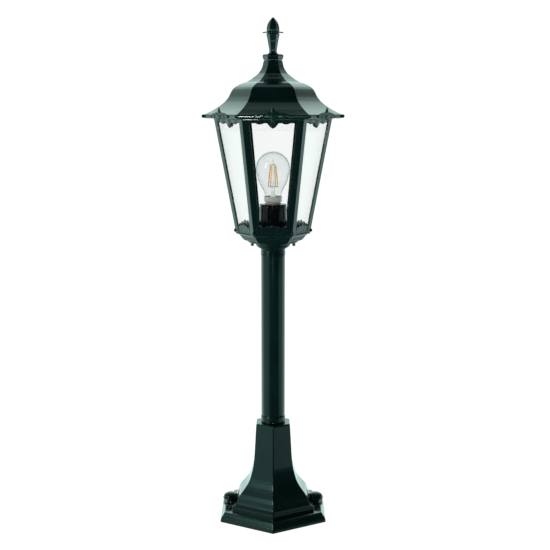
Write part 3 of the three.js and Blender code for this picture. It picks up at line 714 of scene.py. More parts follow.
def dress(slot, *nodes, ease=0.3):
    """Gives frame nodes a finish and eased edges."""
    for name in nodes:
        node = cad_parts[name]
        node.data.materials.clear()
        node.data.materials.append(finish_of(slot))
        bevel = node.modifiers.new("eased_edges", "BEVEL")
        bevel.width = ease * MM
        bevel.segments = 2
        bevel.limit_method = "ANGLE"
        bevel.angle_limit = math.radians(40)


# Pedestal

# Outline of the bell, from its foot to the stalk: share of its rise, share of its spread.
BELL = [
    (0, 1), (0.025, 0.96), (0.068, 0.91), (0.114, 0.793), (0.159, 0.641), (0.205, 0.499),
    (0.252, 0.384), (0.301, 0.307), (0.352, 0.247), (0.402, 0.195), (0.453, 0.155),
    (0.531, 0.112), (0.609, 0.085), (0.723, 0.062), (0.844, 0.035), (0.955, 0.01),
]
BELL_FOOT = (75.0, 28.2)
STALK = 34.9
PLINTH_HEIGHT = 16.5
STEP = 84.3
BASE_WALL = 4.0
NICHE_RADIUS = 17.0
NICHE_FLOOR = 14.0


def base_mesh():
    """The hollow pedestal, from its plinth to the seat of the post."""
    plinth, top = BASE.y, BASE.z
    bell = curve_between(BELL, BELL_FOOT, (STALK, top))
    outside = [
        (0, 0), (plinth, 0), (plinth - 0.4, 3.7), (plinth - 1.5, 7.2), (plinth - 4.3, 10.4),
        (plinth - 6.7, 13.4), (plinth - 7.5, 15.6), (plinth - 9.1, PLINTH_HEIGHT),
        (STEP, PLINTH_HEIGHT), (STEP, 23.4), (79.4, 25.2), (76.6, 26.2), *bell,
        (STALK, top - 1.6), (STALK - 1.8, top), (0, top),
    ]
    solid = hexed(outside, CORNER_IN_FRONT, arris=1.7)
    wall = BASE_WALL / COS30
    foot = plinth - 7.5 - wall
    ceiling = top - 5
    lining = [p for p in inset(bell, BASE_WALL) if p[1] < ceiling - 1]
    hollow = hexed(
        [
            (0, -2), (foot, -2), (foot, 12.5), (STEP - wall, 12.5), (STEP - wall, 17.2),
            (BELL_FOOT[0] - wall, 21.2), *lining, (lining[-1][0], ceiling), (0, ceiling),
        ],
        CORNER_IN_FRONT,
    )
    pillars = [
        drum(NICHE_RADIUS + BASE_WALL, -4, 2 * BELL_FOOT[1], side * NICHE_X)
        for _, _, side in SIDES
    ]
    cutters = [carve(hollow, pillars), drum(ROD_HOLE + 1, top - 12, top + 4)]
    for _, _, side in SIDES:
        cutters.append(drum(NICHE_RADIUS, NICHE_FLOOR, top - 20, side * NICHE_X, sides=96))
        cutters.append(drum(ANCHOR_HOLE, -3, NICHE_FLOOR + 3, side * NICHE_X, sides=32))
    return carve(solid, cutters)


class LANTERN_OT_base(bpy.types.Operator):
    """Casts the six-sided pedestal with its bell, steps and anchor niches."""

    bl_idname = "lantern.base"
    bl_label = "Pedestal"

    def execute(self, context):
        settle("pedestal", base_mesh(), "green_paint", "post", ["base_casting"])
        return {"FINISHED"}


class LANTERN_OT_anchors(bpy.types.Operator):
    """Makes the capped ground nuts with their washers and studs."""

    bl_idname = "lantern.anchors"
    bl_label = "Ground anchors"

    def execute(self, context):
        radius = 12.6
        flange = NUT_LOW.z + 9.6
        hexagon = [
            (ANCHOR_HOLE, NUT_LOW.z), (radius - 0.8, NUT_LOW.z), (radius, NUT_LOW.z + 0.7),
            (radius, flange + 1), (ANCHOR_HOLE, flange + 1),
        ]
        cap = [
            (ANCHOR_HOLE, flange - 0.5), (radius + 1.2, flange - 0.5),
            (radius + 1.5, flange + 0.8), (radius + 0.9, flange + 1.9),
            (radius - 1.1, flange + 2.2), (radius - 1.1, flange + 3.3),
            (radius + 0.2, flange + 3.8), (radius - 0.4, flange + 5),
            (radius - 1.8, flange + 6.4), (radius - 4.2, flange + 8),
            (radius - 7.6, flange + 9.2), (0, NUT_HIGH.z),
        ]
        hole_end = [(0, flange + 4), (ANCHOR_HOLE, flange + 4)]
        outline = hole_end + soften(cap, 0.6)
        for name, _, side in SIDES:
            nut = hexed(hexagon, CORNERS_ON_X, arris=0.7, cut=0.5, loop=True)
            dome = skin([round_ring(max(r, 1e-4), z, 64) for r, z in outline])
            settle(
                f"ground_nut_{name}", shifted(carve(nut, [dome], "UNION"), side * NICHE_X),
                "green_paint", "post", [f"anchor_nut_{name}"],
            )
            low, high = span(f"anchor_washer_{name}")
            ring = [(ANCHOR_HOLE, low.z), (14.2, low.z), (14.2, high.z), (ANCHOR_HOLE, high.z)]
            washer = shifted(turned(ring, cut=0.4, loop=True), side * NICHE_X)
            settle(
                f"ground_washer_{name}", washer, "zinc_steel", "post",
                [f"anchor_washer_{name}"],
            )
        dress("zinc_steel", "anchor_stud_left", "anchor_stud_right")
        return {"FINISHED"}


# Post


class LANTERN_OT_post(bpy.types.Operator):
    """Draws the round post and turns the collar it stands in."""

    bl_idname = "lantern.post"
    bl_label = "Post"

    def execute(self, context):
        inner = TUBE_RADIUS - TUBE_WALL
        tube = [
            (inner, TUBE_LOW.z), (TUBE_RADIUS, TUBE_LOW.z),
            (TUBE_RADIUS, (TUBE_LOW.z + TUBE_HIGH.z) / 2), (TUBE_RADIUS, TUBE_HIGH.z),
            (inner, TUBE_HIGH.z),
        ]
        mesh = turned(tube, cut=0.5, loop=True, sides=128)
        settle("post_tube_drawn", mesh, "green_paint", "post", ["post_tube"])
        foot = COLLAR_LOW.z
        seat = TUBE_LOW.z - GAP
        spigot = inner - GAP
        collar = [
            (ROD_HOLE, foot), (TUBE_RADIUS + 0.2, foot), (TUBE_RADIUS + 0.8, foot + 1.5),
            (TUBE_RADIUS + 0.8, seat - 3.6), (TUBE_RADIUS, seat - 2.2),
            (TUBE_RADIUS - 1.2, seat - 1.8), (TUBE_RADIUS - 1.2, seat),
            (spigot, seat), (spigot, COLLAR_HIGH.z), (ROD_HOLE, COLLAR_HIGH.z),
        ]
        mesh = turned(collar, cut=0.6, loop=True, sides=128)
        settle("post_collar", mesh, "green_paint", "post", ["tube_collar"])
        return {"FINISHED"}


class LANTERN_OT_clamp(bpy.types.Operator):
    """Finishes the hollow rod, its nuts and the lead inside the post."""

    bl_idname = "lantern.clamp"
    bl_label = "Clamp rod and lead"

    def execute(self, context):
        dress("zinc_steel", "tie_rod", "rod_washer", "rod_nut_lower", "rod_nut_upper")
        dress("black_plastic", "cable_bush", "lamp_lead")
        return {"FINISHED"}


# Bowl

DISC = 44.7
SPIGOT_DEPTH = -18


def bowl_mesh():
    """The bowl, from its spigot in the tube and bead rings up to its rim."""
    neck = TUBE_RADIUS
    flare = 9.4
    spigot = neck - TUBE_WALL - GAP
    bore = spigot - 4
    stem = [
        (0, 8), (bore, 8), (bore, SPIGOT_DEPTH), (spigot, SPIGOT_DEPTH), (spigot, 0),
        (neck + 0.2, 0), (neck + 1.1, 0.9), (neck + 1.1, 2.3), (neck, 3.1), (neck, 4.3),
        (neck + 1, 5.1), (neck + 1, 6.5), (neck + 0.2, 7.4), (neck + 0.4, 9.4),
        (neck + 2, 11.7), (neck + 4.2, 12.6), (neck + 7.7, 15.3), (neck + flare * 0.96, 17.6),
        (neck + flare * 0.98, 21.5), (neck + flare, 23), (DISC - 0.9, 23), (DISC, 23.9),
        (DISC, 28), (0, 28),
    ]
    rim = BOWL_HIGH.x + 1.2
    wall = 3.4 / COS30
    dish = [
        (0, 25.2), (rim - 11.5, 25.2), (rim - 10.2, 26), (rim - 6.9, 29.4), (rim - 4.2, 32.9),
        (rim - 1.5, 35.6), (rim - 1.2, 36.4), (rim - 1.6 - wall, 36.4),
        (rim - 4.2 - wall, 32.9), (rim - 10.2 - wall, 28), (0, 28),
    ]
    turned_part = turned(stem, lift=HEAD_Z, cut=0.6, sides=96)
    six_sided = hexed(dish, CORNERS_ON_X, lift=HEAD_Z, cut=0.7, arris=1.3)
    whole = carve(turned_part, [six_sided], "UNION")
    cutters = [drum(ROD_HOLE, HEAD_Z - 30, HEAD_Z + 40, sides=32)]
    for _, _, side in SIDES:
        cutters.append(drum(THUMB_HOLE, HEAD_Z + 18, HEAD_Z + 34, side * THUMB_X, sides=24))
    return carve(whole, cutters)


class LANTERN_OT_bowl(bpy.types.Operator):
    """Casts the bowl that carries the lantern head."""

    bl_idname = "lantern.bowl"
    bl_label = "Bowl"

    def execute(self, context):
        settle("bowl", bowl_mesh(), "green_paint", "post", ["bowl_casting"])
        return {"FINISHED"}


class LANTERN_OT_thumb_nuts(bpy.types.Operator):
    """Turns the knurled thumb nuts under the bowl, with washers and studs."""

    bl_idname = "lantern.thumb_nuts"
    bl_label = "Thumb nuts"

    def execute(self, context):
        radius = (THUMB_HIGH.x - THUMB_LOW.x) / 2
        seat = THUMB_HIGH.z
        knob = [
            (0, seat - 9.6), (1.6, seat - 9.2), (radius - 1.6, seat - 8),
            (radius - 0.6, seat - 6.4), (radius - 0.9, seat - 4.9),
        ]
        grip = [
            (0, seat - 5.2), (radius - 0.9, seat - 5.2), (radius, seat - 3.9),
            (radius, seat - 0.5), (radius - 0.5, seat), (0, seat),
        ]
        for name, short, side in SIDES:
            head = turned([*knob, (0, seat - 4.9)], cut=0.7, sides=48)
            wheel = turned(grip, cut=0.25, sides=96, flutes=24, depth=0.35)
            nut = carve(head, [wheel], "UNION")
            nut = carve(nut, [drum(THUMB_HOLE, seat - 6, seat + 2, sides=32)])
            settle(
                f"thumb_wheel_{name}", shifted(nut, side * THUMB_X), "green_paint",
                f"thumb_nut_{short}", [f"thumb_nut_{name}"],
            )
            low, high = span(f"thumb_washer_{name}")
            ring = [(THUMB_HOLE, low.z), (5.6, low.z), (5.6, high.z), (THUMB_HOLE, high.z)]
            washer = shifted(turned(ring, cut=0.25, loop=True, sides=48), side * THUMB_X)
            settle(
                f"thumb_ring_{name}", washer, "zinc_steel", f"thumb_washer_{short}",
                [f"thumb_washer_{name}"],
            )
        dress("zinc_steel", "thumb_stud_left", "thumb_stud_right")
        return {"FINISHED"}


# Cage

PLATE_EDGE = 1.2
LIP_METAL = 1.6
FLOOR_MOUTH = 33
CROWN_MOUTH = 76


def cage_radius(height):
    """Corner radius of the cage at a height."""
    return CAGE_FOOT + CAGE_SLOPE * (height - CAGE_LOW)


def on_pane(across, height, depth):
    """A point in the front side of the cage, depth behind the outside of the bars."""
    return Vector((across, -cage_radius(height) * COS30 + depth * SLOPED, height))


def pane_inside(height):
    """How far the inner faces of the panes are from the middle at a height."""
    return cage_radius(height) * COS30 - (BAR_METAL + GAP + PANE_GLASS) * SLOPED


def smooth_table(table, spot):
    """The value of a table at a spot, eased between its rows."""
    if spot <= table[0][0]:
        return table[0][1]
    for (x0, y0), (x1, y1) in zip(table, table[1:]):
        if spot <= x1:
            t = (spot - x0) / (x1 - x0)
            return y0 + (y1 - y0) * t * t * (3 - 2 * t)
    return table[-1][1]


def relief_plate(half, low_at, high_at, swell_at, columns, rows):
    """A cast plate on the front side of the cage with a modelled face."""
    shape = bmesh.new()
    spots = [-half + 2 * half * i / columns for i in range(columns + 1)]
    front, back = [], []
    for across in spots:
        low, high = low_at(across), high_at(across)
        face, rear = [], []
        for j in range(rows + 1):
            height = low + (high - low) * j / rows
            border = min(j, rows - j, 2) / 2
            side = min(half - abs(across), PLATE_EDGE) / PLATE_EDGE
            inner = min(border, side)
            rise = swell_at(across, height) * inner
            dull = 0.45 * (1 - inner)
            spot = on_pane(across, height, GAP + dull + PLATE_METAL * 0.35 - rise)
            face.append(shape.verts.new(spot * MM))
            rear.append(shape.verts.new(on_pane(across, height, GAP + PLATE_METAL) * MM))
        front.append(face)
        back.append(rear)
    for i in range(columns):
        for j in range(rows):
            shape.faces.new((front[i][j], front[i + 1][j], front[i + 1][j + 1], front[i][j + 1]))
            shape.faces.new((back[i][j], back[i][j + 1], back[i + 1][j + 1], back[i + 1][j]))
        for j in (0, rows):
            shape.faces.new((front[i][j], back[i][j], back[i + 1][j], front[i + 1][j]))
    for i in (0, columns):
        for j in range(rows):
            shape.faces.new((front[i][j], front[i][j + 1], back[i][j + 1], back[i][j]))
    return close_mesh(shape, 50)


# Leaves of the band on the floor: middle, half width, height above the plate.
BAND_LEAVES = [
    (0, 5.4, 19.5), (-9.2, 5.0, 17.6), (9.2, 5.0, 17.6), (-17.2, 4.6, 15.2),
    (17.2, 4.6, 15.2),
]


def leaf_top(across, foot):
    """Height of the leaf band's upper edge."""
    tallest = 0
    for middle, half, height in BAND_LEAVES:
        away = abs(across - middle) / half
        tallest = max(tallest, height - 5.2 * min(away, 1.6) ** 1.5)
    return foot + tallest


def leaf_swell(across, height, foot):
    """How far a leaf band stands out, with a vein down each leaf."""
    best = 0.0
    for middle, half, tall in BAND_LEAVES:
        up = (height - foot) / tall
        wide = half * (0.55 + 0.5 * math.sin(min(max(up, 0), 1) * math.pi * 0.8))
        away = abs(across - middle) / wide
        if away < 1:
            body = math.sqrt(1 - away * away) * 0.75
            vein = 0.3 * math.exp(-((abs(across - middle) / 0.55) ** 2))
            rib = 0.14 * math.cos(up * 26 - away * 5)
            best = max(best, body - vein + rib * (1 - away))
    return best


# Lower edge of the valance: distance from the middle, height from the top of the cage.
VALANCE_EDGE = [
    (0, -13), (1, -12.8), (3.6, -11.3), (7.6, -7.4), (9.4, -4.4), (12, -3.2), (14.6, -4.2),
    (18, -5.9), (22, -6.4), (26, -5.8), (28, -4.6), (31, -3),
]


def valance_swell(across, height):
    """How far the valance stands out: a leaf in the middle, a scroll on each side."""
    away = abs(across)
    drop = CAGE_HIGH - height
    lobe = math.exp(-(((away - 22) / 6.5) ** 2)) * 0.7
    scroll = math.hypot(away - 21, drop - 2.8)
    curl = 0.35 * math.cos(scroll * 1.9) * math.exp(-scroll / 5)
    leaf = math.exp(-((away / 4.6) ** 2)) * 0.95 - 0.35 * math.exp(-((away / 0.6) ** 2))
    rib = 0.18 * math.cos(drop * 1.6 + away * 0.9) * math.exp(-((away / 6) ** 2))
    return max(lobe + curl, leaf + rib)


class LANTERN_OT_cage_floor(bpy.types.Operator):
    """Casts the cage's floor plate, its inner lip and its band of leaves."""

    bl_idname = "lantern.cage_floor"
    bl_label = "Cage floor"

    def execute(self, context):
        low = FLOOR_LOW.z
        plate_top = CAGE_LOW - GAP
        foot = CAGE_FOOT
        inner = FLOOR_MOUTH - 3
        lip = (pane_inside(plate_top) - GAP) / COS30
        thick = LIP_METAL / COS30
        plate = [
            (inner, low), (foot - 2, low), (foot, low + 1.2), (foot, plate_top),
            (lip, plate_top), (lip, plate_top + 4.5), (lip - thick, plate_top + 4.5),
            (lip - thick, plate_top), (inner, plate_top),
        ]
        mesh = hexed(plate, CORNERS_ON_X, cut=0.5, arris=1.2, loop=True)
        mesh = carve(mesh, [drum(FLOOR_MOUTH, low - 5, plate_top + 12, sides=96)])
        settle("cage_base", mesh, "green_paint", "lantern_head", ["cage_floor"])
        half = cage_radius(plate_top) * 0.5 - BAR_FLANGE - GAP
        band = relief_plate(
            half + 0.4,
            lambda across: plate_top - 0.5,
            lambda across: leaf_top(across, plate_top),
            lambda across, height: leaf_swell(across, height, plate_top),
            84, 26,
        )
        for i in range(6):
            settle(f"leaf_band_{i + 1}", band, "green_paint", "lantern_head", turn=i * SIXTH)
        return {"FINISHED"}


class LANTERN_OT_bars(bpy.types.Operator):
    """Casts the six corner bars with a bud at each foot."""

    bl_idname = "lantern.bars"
    bl_label = "Corner bars"

    def execute(self, context):
        metal = BAR_METAL * SLOPED
        reach = BAR_FLANGE
        # An angle section: two flanges that follow the sides of the cage.
        legs = []
        for side in (1, -1):
            legs.append([
                (-reach * 0.5, side * reach * COS30),
                (-reach * 0.5 - metal * COS30, side * (reach * COS30 - metal * 0.5)),
            ])
        outline = [(0, 0), *legs[0], (-metal / COS30, 0), *reversed(legs[1])]
        outline = soften(outline, 0.75, True)
        rings = []
        low, high = CAGE_LOW - 1.2, CAGE_HIGH + 1.2
        for height in (low, low + 4, (low + high) / 2, high - 4, high):
            rings.append([Vector((x + cage_radius(height), y, height)) for x, y in outline])
        bar = skin(rings)
        middle = CAGE_LOW + 3.1
        bud = [
            (0, middle - 2.9), (1.5, middle - 2.5), (2.5, middle - 1.4), (2.9, middle),
            (2.5, middle + 1.3), (1.7, middle + 2.1), (1.9, middle + 2.7), (1.2, middle + 3.4),
            (0, middle + 3.8),
        ]
        knob = shifted(turned(bud, cut=0.5, sides=32), CAGE_FOOT + 0.6)
        bar = carve(bar, [knob], "UNION")
        for i in range(6):
            settle(
                f"cage_bar_{i + 1}", bar, "green_paint", "lantern_head",
                [f"corner_bar_{i + 1}"], turn=i * SIXTH,
            )
        return {"FINISHED"}


class LANTERN_OT_panes(bpy.types.Operator):
    """Gives the six panes their clear glass."""

    bl_idname = "lantern.panes"
    bl_label = "Panes"

    def execute(self, context):
        dress("pane_glass", *[f"glass_pane_{i + 1}" for i in range(6)], ease=0.5)
        return {"FINISHED"}


class LANTERN_OT_crown(bpy.types.Operator):
    """Casts the ring on top of the cage and its scalloped valance."""

    bl_idname = "lantern.crown"
    bl_label = "Crown"

    def execute(self, context):
        outer = CAGE_TOP + 0.6
        bottom = CAGE_HIGH + GAP
        top = bottom + 2
        low = CAGE_HIGH - 4.5
        inner = CROWN_MOUTH - 6
        lip = (pane_inside(low) - GAP) / COS30
        thick = LIP_METAL / COS30
        ring = [
            (inner, bottom), (lip - thick, bottom), (lip - thick, low), (lip, low),
            (lip, bottom), (outer, bottom), (outer, top), (inner, top),
        ]
        mesh = hexed(ring, CORNERS_ON_X, cut=0.5, arris=1.2, loop=True)
        mesh = carve(mesh, [drum(CROWN_MOUTH, low - 6, top + 6, sides=128)])
        settle("cage_ring", mesh, "green_paint", "lantern_head", ["cage_crown"])
        half = cage_radius(CAGE_HIGH - 3) * 0.5 - BAR_FLANGE - GAP
        skirt = relief_plate(
            half + GAP,
            lambda across: CAGE_HIGH + smooth_table(VALANCE_EDGE, abs(across)),
            lambda across: bottom + 0.4,
            valance_swell,
            108, 22,
        )
        for i in range(6):
            settle(f"valance_{i + 1}", skirt, "green_paint", "lantern_head", turn=i * SIXTH)
        return {"FINISHED"}


# Roof

# Outline of the roof, from its rim to the neck: share of its rise, share of its spread.
ROOF_CURVE = [
    (0, 1), (0.022, 0.955), (0.053, 0.898), (0.09, 0.837), (0.127, 0.785), (0.164, 0.738),
    (0.2, 0.697), (0.237, 0.66), (0.274, 0.632), (0.311, 0.606), (0.348, 0.588),
    (0.385, 0.572), (0.422, 0.555), (0.459, 0.534), (0.496, 0.499), (0.532, 0.446),
    (0.566, 0.38), (0.596, 0.292), (0.643, 0.222), (0.68, 0.178), (0.716, 0.134),
    (0.753, 0.094), (0.79, 0.07), (0.826, 0.048), (0.863, 0.031), (0.9, 0.021),
    (0.95, 0.012), (1, 0),
]
RIM_HEIGHT = 8.0
RIM_Z = ROOF_Z + RIM_HEIGHT / 2
ROOF_NECK = 15.9
ROOF_WALL = 2.5
ROOF_MOUTH = 79


def roof_mesh():
    """The hollow flared roof with a knob on each corner of its rim."""
    rise = ROOF_HIGH.z - ROOF_Z
    skirt = curve_between(ROOF_CURVE, (RIM - 3.0, RIM_HEIGHT), (ROOF_NECK, rise))
    outside = [
        (0, 0), (RIM - 2.8, 0), (RIM - 1.0, 0.5), (RIM - 0.15, 1.6), (RIM, 4.0),
        (RIM - 0.15, 6.2), (RIM - 1.0, 7.2), (RIM - 2.4, 7.4), *skirt, (0, rise),
    ]
    solid = hexed(outside, CORNERS_ON_X, lift=ROOF_Z, cut=1.2, arris=1.5)
    ceiling = rise * 0.745
    cover = [p for p in inset(skirt, ROOF_WALL) if 5.4 < p[1] < ceiling - 1]
    hollow = hexed(
        [
            (0, 2.4), (cover[0][0] - 1, 2.4), *cover, (cover[-1][0] - 1, ceiling),
            (0, ceiling),
        ],
        CORNERS_ON_X, lift=ROOF_Z, cut=0.6,
    )
    knob = [
        (0, -8.0), (2.0, -8.0), (2.0, -4.4), (2.7, -4.1), (2.7, -3.3), (2.0, -3.0),
        (2.3, -2.5), (3.0, -1.1), (3.2, 0), (2.9, 1.4), (2.0, 2.5), (0.9, 3.1), (0, 3.2),
    ]
    tips = []
    for i in range(6):
        tip = turned(knob, cut=0.45, sides=32)
        tip.transform(Matrix.Rotation(math.pi / 2, 4, "Y"))
        shifted(tip, RIM + 0.9, 0, RIM_Z)
        tip.transform(Matrix.Rotation(i * SIXTH, 4, "Z"))
        tips.append(tip)
    whole = carve(solid, tips, "UNION")
    return carve(whole, [hollow, drum(ROOF_MOUTH, ROOF_Z - 4, ROOF_Z + 2.6, sides=128)])


class LANTERN_OT_roof(bpy.types.Operator):
    """Casts the flared roof with its half-round rim and corner knobs."""

    bl_idname = "lantern.roof"
    bl_label = "Roof"

    def execute(self, context):
        settle("roof", roof_mesh(), "green_paint", "lantern_head", ["roof_casting"])
        dress("zinc_steel", "roof_screw_1", "roof_screw_2", "roof_screw_3")
        return {"FINISHED"}


def scroll_path(run, spin, curls, side):
    """A stem that runs out and curls in on itself, as flat points."""
    spots = [Vector((side * x, z)) for x, z in soften(run, 9, steps=6)]
    heading = spots[-1] - spots[-2]
    angle = math.atan2(heading.y, heading.x)
    reach = 1.15
    spot = spots[-1].copy()
    # Each step turns a little more and reaches a little less than the one before.
    for _ in range(curls):
        spot = spot + Vector((math.cos(angle), math.sin(angle))) * reach
        spots.append(spot.copy())
        angle += spin * side
        spin *= 1.12
        reach *= 0.93
    return spots


def crest_mesh():
    """A leaf with a scroll on each side, run together in one pour."""
    plane = -RIM * COS30 - 1.2
    round_stem = [2 * math.pi * k / 12 for k in range(12)]

    def stem(path, thick, thin):
        """A flattened stem that tapers along its path."""
        def section(share):
            size = thick + (thin - thick) * share
            return [(size * math.cos(a), plane + size * 0.8 * math.sin(a)) for a in round_stem]

        return sweep([p + Vector((0, RIM_Z)) for p in path], section)

    def mirrored(run, cut, side):
        """A softened run of points on one side of the crest."""
        return [Vector((side * x, z)) for x, z in soften(run, cut)]

    bodies = []
    for side in (-1, 1):
        arch = [(3.0, 1.4), (10, 5.0), (17, 4.6), (24, 3.4), (28.6, 1.4)]
        under = [(1.4, -0.4), (6.0, -3.0), (11.0, -4.2), (15.4, -3.0)]
        leaf = [(1.6, 4.0), (4.8, 7.6), (7.6, 6.8), (8.6, 4.2)]
        tail = [(15, 1.6), (19.5, -2.4), (24, -3.2), (28.5, -1.4)]
        bodies += [
            stem(scroll_path(arch, -0.52, 9, side), 2.1, 1.1),
            stem(scroll_path(under, 0.6, 8, side), 1.7, 0.9),
            stem(mirrored(leaf, 2, side), 1.7, 0.8),
            stem(mirrored(tail, 3, side), 1.4, 0.9),
        ]
    bud = [
        (0.6, -8.4), (2.0, -6.8), (2.5, -5.4), (1.5, -4.0), (1.9, -2.6), (3.0, -0.6),
        (2.9, 1.2), (1.9, 2.6), (2.0, 4.0), (2.9, 5.6), (3.5, 7.6), (3.2, 9.8), (2.0, 12.4),
        (0.8, 14.8),
    ]
    spike = turned([(0, -8.6), *bud, (0, 15.3)], cut=0.8, sides=24)
    spike.transform(Matrix.Diagonal((1.1, 0.62, 1, 1)))
    bodies.append(shifted(spike, 0, plane, RIM_Z))
    back = [Vector((x, RIM_Z + 0.6)) for x in (-26, -13, 0, 13, 26)]
    strap = [(-2.6, plane), (2.6, plane), (2.6, plane + 1.0), (-2.6, plane + 1.0)]
    bodies.append(sweep(back, lambda share: strap))
    return fused(bodies, 0.4)


class LANTERN_OT_crests(bpy.types.Operator):
    """Casts the six crests that stand on the roof's rim."""

    bl_idname = "lantern.crests"
    bl_label = "Rim crests"

    def execute(self, context):
        crest = crest_mesh()
        for i in range(6):
            settle(
                f"rim_crest_{i + 1}", crest, "green_paint", "lantern_head",
                [f"eave_crest_{i + 1}"], turn=i * SIXTH,
            )
        return {"FINISHED"}


# Finial

STUD_HOLE = 3.3


class LANTERN_OT_finial(bpy.types.Operator):
    """Casts the six-sided finial and the collar under it."""

    bl_idname = "lantern.finial"
    bl_label = "Finial"

    def execute(self, context):
        foot = ROOF_HIGH.z + GAP
        rim = 18.2
        collar = [
            (STUD_HOLE, 0), (rim - 2.3, 0), (rim - 0.8, 3), (rim, 6.4), (rim - 0.6, 8.4),
            (rim - 3, 10), (STUD_HOLE, 10),
        ]
        mesh = hexed(collar, CORNERS_ON_X, lift=foot, cut=0.7, arris=0.9, loop=True)
        settle("finial_seat", mesh, "green_paint", "lantern_head", ["finial_collar"])
        bud = [
            (0, 0), (8.3, 0), (6.5, 3), (6.7, 7), (7.7, 13), (9, 19.6), (9.4, 23),
            (10.8, 29.4), (11.5, 32.6), (9.6, 34), (17.7, 34.4), (17.7, 36.4), (9.6, 36.8),
            (10.9, 37.6), (11.1, 40), (10.8, 43), (10.2, 46.2), (9.2, 49.8), (7.7, 52.8),
            (5.5, 56.1), (2.6, 59.4), (0.8, 60.8), (0, 61),
        ]
        mesh = hexed(bud, CORNERS_ON_X, lift=FINIAL_LOW.z, cut=0.45, arris=0.7)
        mesh = carve(mesh, [drum(STUD_HOLE, FINIAL_LOW.z - 4, FINIAL_LOW.z + 22, sides=24)])
        settle("finial_bud", mesh, "green_paint", "lantern_head", ["finial"])
        dress("zinc_steel", "finial_nut", "finial_stud")
        return {"FINISHED"}


# Lampholder and bulb

SLEEVE_PITCH = 3.6
CAP_PITCH = 3.63
BULB_RADIUS = 30
HOOP_RADII = (9.2, 5.4)


def holder_strap():
    """The bent strap under the lampholder."""
    low, high = span("lampholder_bracket")
    wide, tall = high.x, high.z - low.z
    centre = [
        (-wide + 1, 1), (wide - 1, 1), (wide - 1, tall - 1), (-wide + 1, tall - 1),
    ]
    path = soften(centre, 2.4, True)
    deep = high.y
    section = soften([(-1, -deep), (1, -deep), (1, deep), (-1, deep)], 0.3, True, 2)
    mesh = shifted(sweep(path, lambda share: section, True), 0, 0, low.z)
    holes = [drum(ROD_HOLE, low.z - 2, low.z + 3), drum(3.5, high.z - 3, high.z + 2)]
    return carve(mesh, holes)


class LANTERN_OT_lampholder(bpy.types.Operator):
    """Makes the lampholder, its threaded sleeve, contact and strap."""

    bl_idname = "lantern.lampholder"
    bl_label = "Lampholder"

    def execute(self, context):
        settle("holder_strap", holder_strap(), "zinc_steel", "post", ["lampholder_bracket"])
        radius = SHELL_HIGH.x
        foot, top = SHELL_LOW.z, SHELL_HIGH.z
        bore = 15.2
        floor = span("lampholder_contact")[0].z - GAP
        shell = [
            (2.5, foot), (radius - 1, foot), (radius, foot + 1), (radius, foot + 7.4),
            (radius - 0.7, foot + 7.9), (radius - 0.7, foot + 8.7), (radius, foot + 9.2),
            (radius, top - 5), (radius - 0.5, top - 4.6), (radius - 0.5, top - 1.6),
            (radius - 1.1, top - 0.4), (radius - 2.1, top), (bore + 1.4, top),
            (bore, top - 1.2), (bore, floor), (2.5, floor),
        ]
        mesh = turned(shell, cut=0.5, loop=True, sides=96)
        settle("holder_shell", mesh, "holder_black", "post", ["lampholder_shell"])
        low, high = span("lampholder_sleeve")
        outer = high.x
        line = [(outer - 1.2, low.z), (outer - 0.1, low.z)]
        grooves = int((high.z - low.z) / SLEEVE_PITCH)
        for k in range(grooves):
            start = low.z + 0.6 + k * SLEEVE_PITCH
            line += [(outer - 0.1, start + 0.8), (outer, start + 1.8), (outer - 0.3, start + 3.2)]
        line += [(outer - 0.1, high.z), (outer - 1.2, high.z)]
        mesh = turned(line, cut=0.3, loop=True)
        settle("holder_sleeve", mesh, "contact_brass", "post", ["lampholder_sleeve"])
        low, high = span("lampholder_contact")
        spring = [
            (0, low.z), (9, low.z), (9, low.z + 1), (3.4, low.z + 1.2), (4, high.z - 0.5),
            (3.2, high.z), (0, high.z),
        ]
        mesh = turned(spring, cut=0.4)
        settle("holder_contact", mesh, "contact_brass", "post", ["lampholder_contact"])
        return {"FINISHED"}


def thread(radius, low, high, pitch, deep, inner):
    """A rolled screw thread as a closed wall."""
    per_turn = 48
    steps = 10
    rows = int((high - low) / pitch * steps)
    shape = bmesh.new()
    grid = []
    for j in range(rows + 1):
        row = []
        for k in range(per_turn):
            angle = 2 * math.pi * k / per_turn
            height = low + (high - low) * j / rows
            phase = (height - low) / pitch - k / per_turn
            fade = min(1.0, (height - low) / 1.5, (high - height) / 1.5)
            reach = radius - deep * (0.5 + 0.5 * math.cos(2 * math.pi * phase)) * fade
            spot = Vector((reach * math.cos(angle), reach * math.sin(angle), height))
            row.append(shape.verts.new(spot * MM))
        grid.append(row)
    for height in (high, low):
        ring = round_ring(inner, height, per_turn)
        grid.append([shape.verts.new(point * MM) for point in ring])
    for j in range(len(grid)):
        upper = grid[(j + 1) % len(grid)]
        for k in range(per_turn):
            nxt = (k + 1) % per_turn
            shape.faces.new((grid[j][k], grid[j][nxt], upper[nxt], upper[k]))
    return close_mesh(shape)


def globe_line(outer):
    """The pear outline of the glass, or of its inside."""
    wide = GLOBE_HIGH.x if outer else GLOBE_HIGH.x - 1
    neck = 13.6 if outer else 12.6
    top = GLOBE_HIGH.z if outer else GLOBE_HIGH.z - 1
    foot = GLOBE_LOW.z
    centre = GLOBE_HIGH.z - BULB_RADIUS
    rise = centre - foot
    line = [(neck, foot), (neck, foot + 8)]
    for up, out in [(0.26, 0.09), (0.36, 0.25), (0.46, 0.45), (0.56, 0.63), (0.66, 0.775)]:
        line.append((neck + (wide - neck) * out, foot + rise * up))
    for i in range(15):
        angle = math.radians(-22.5 + 112.5 * i / 14)
        line.append((wide * math.cos(angle), centre + (top - centre) * math.sin(angle)))
    line[-1] = (0, top)
    return line


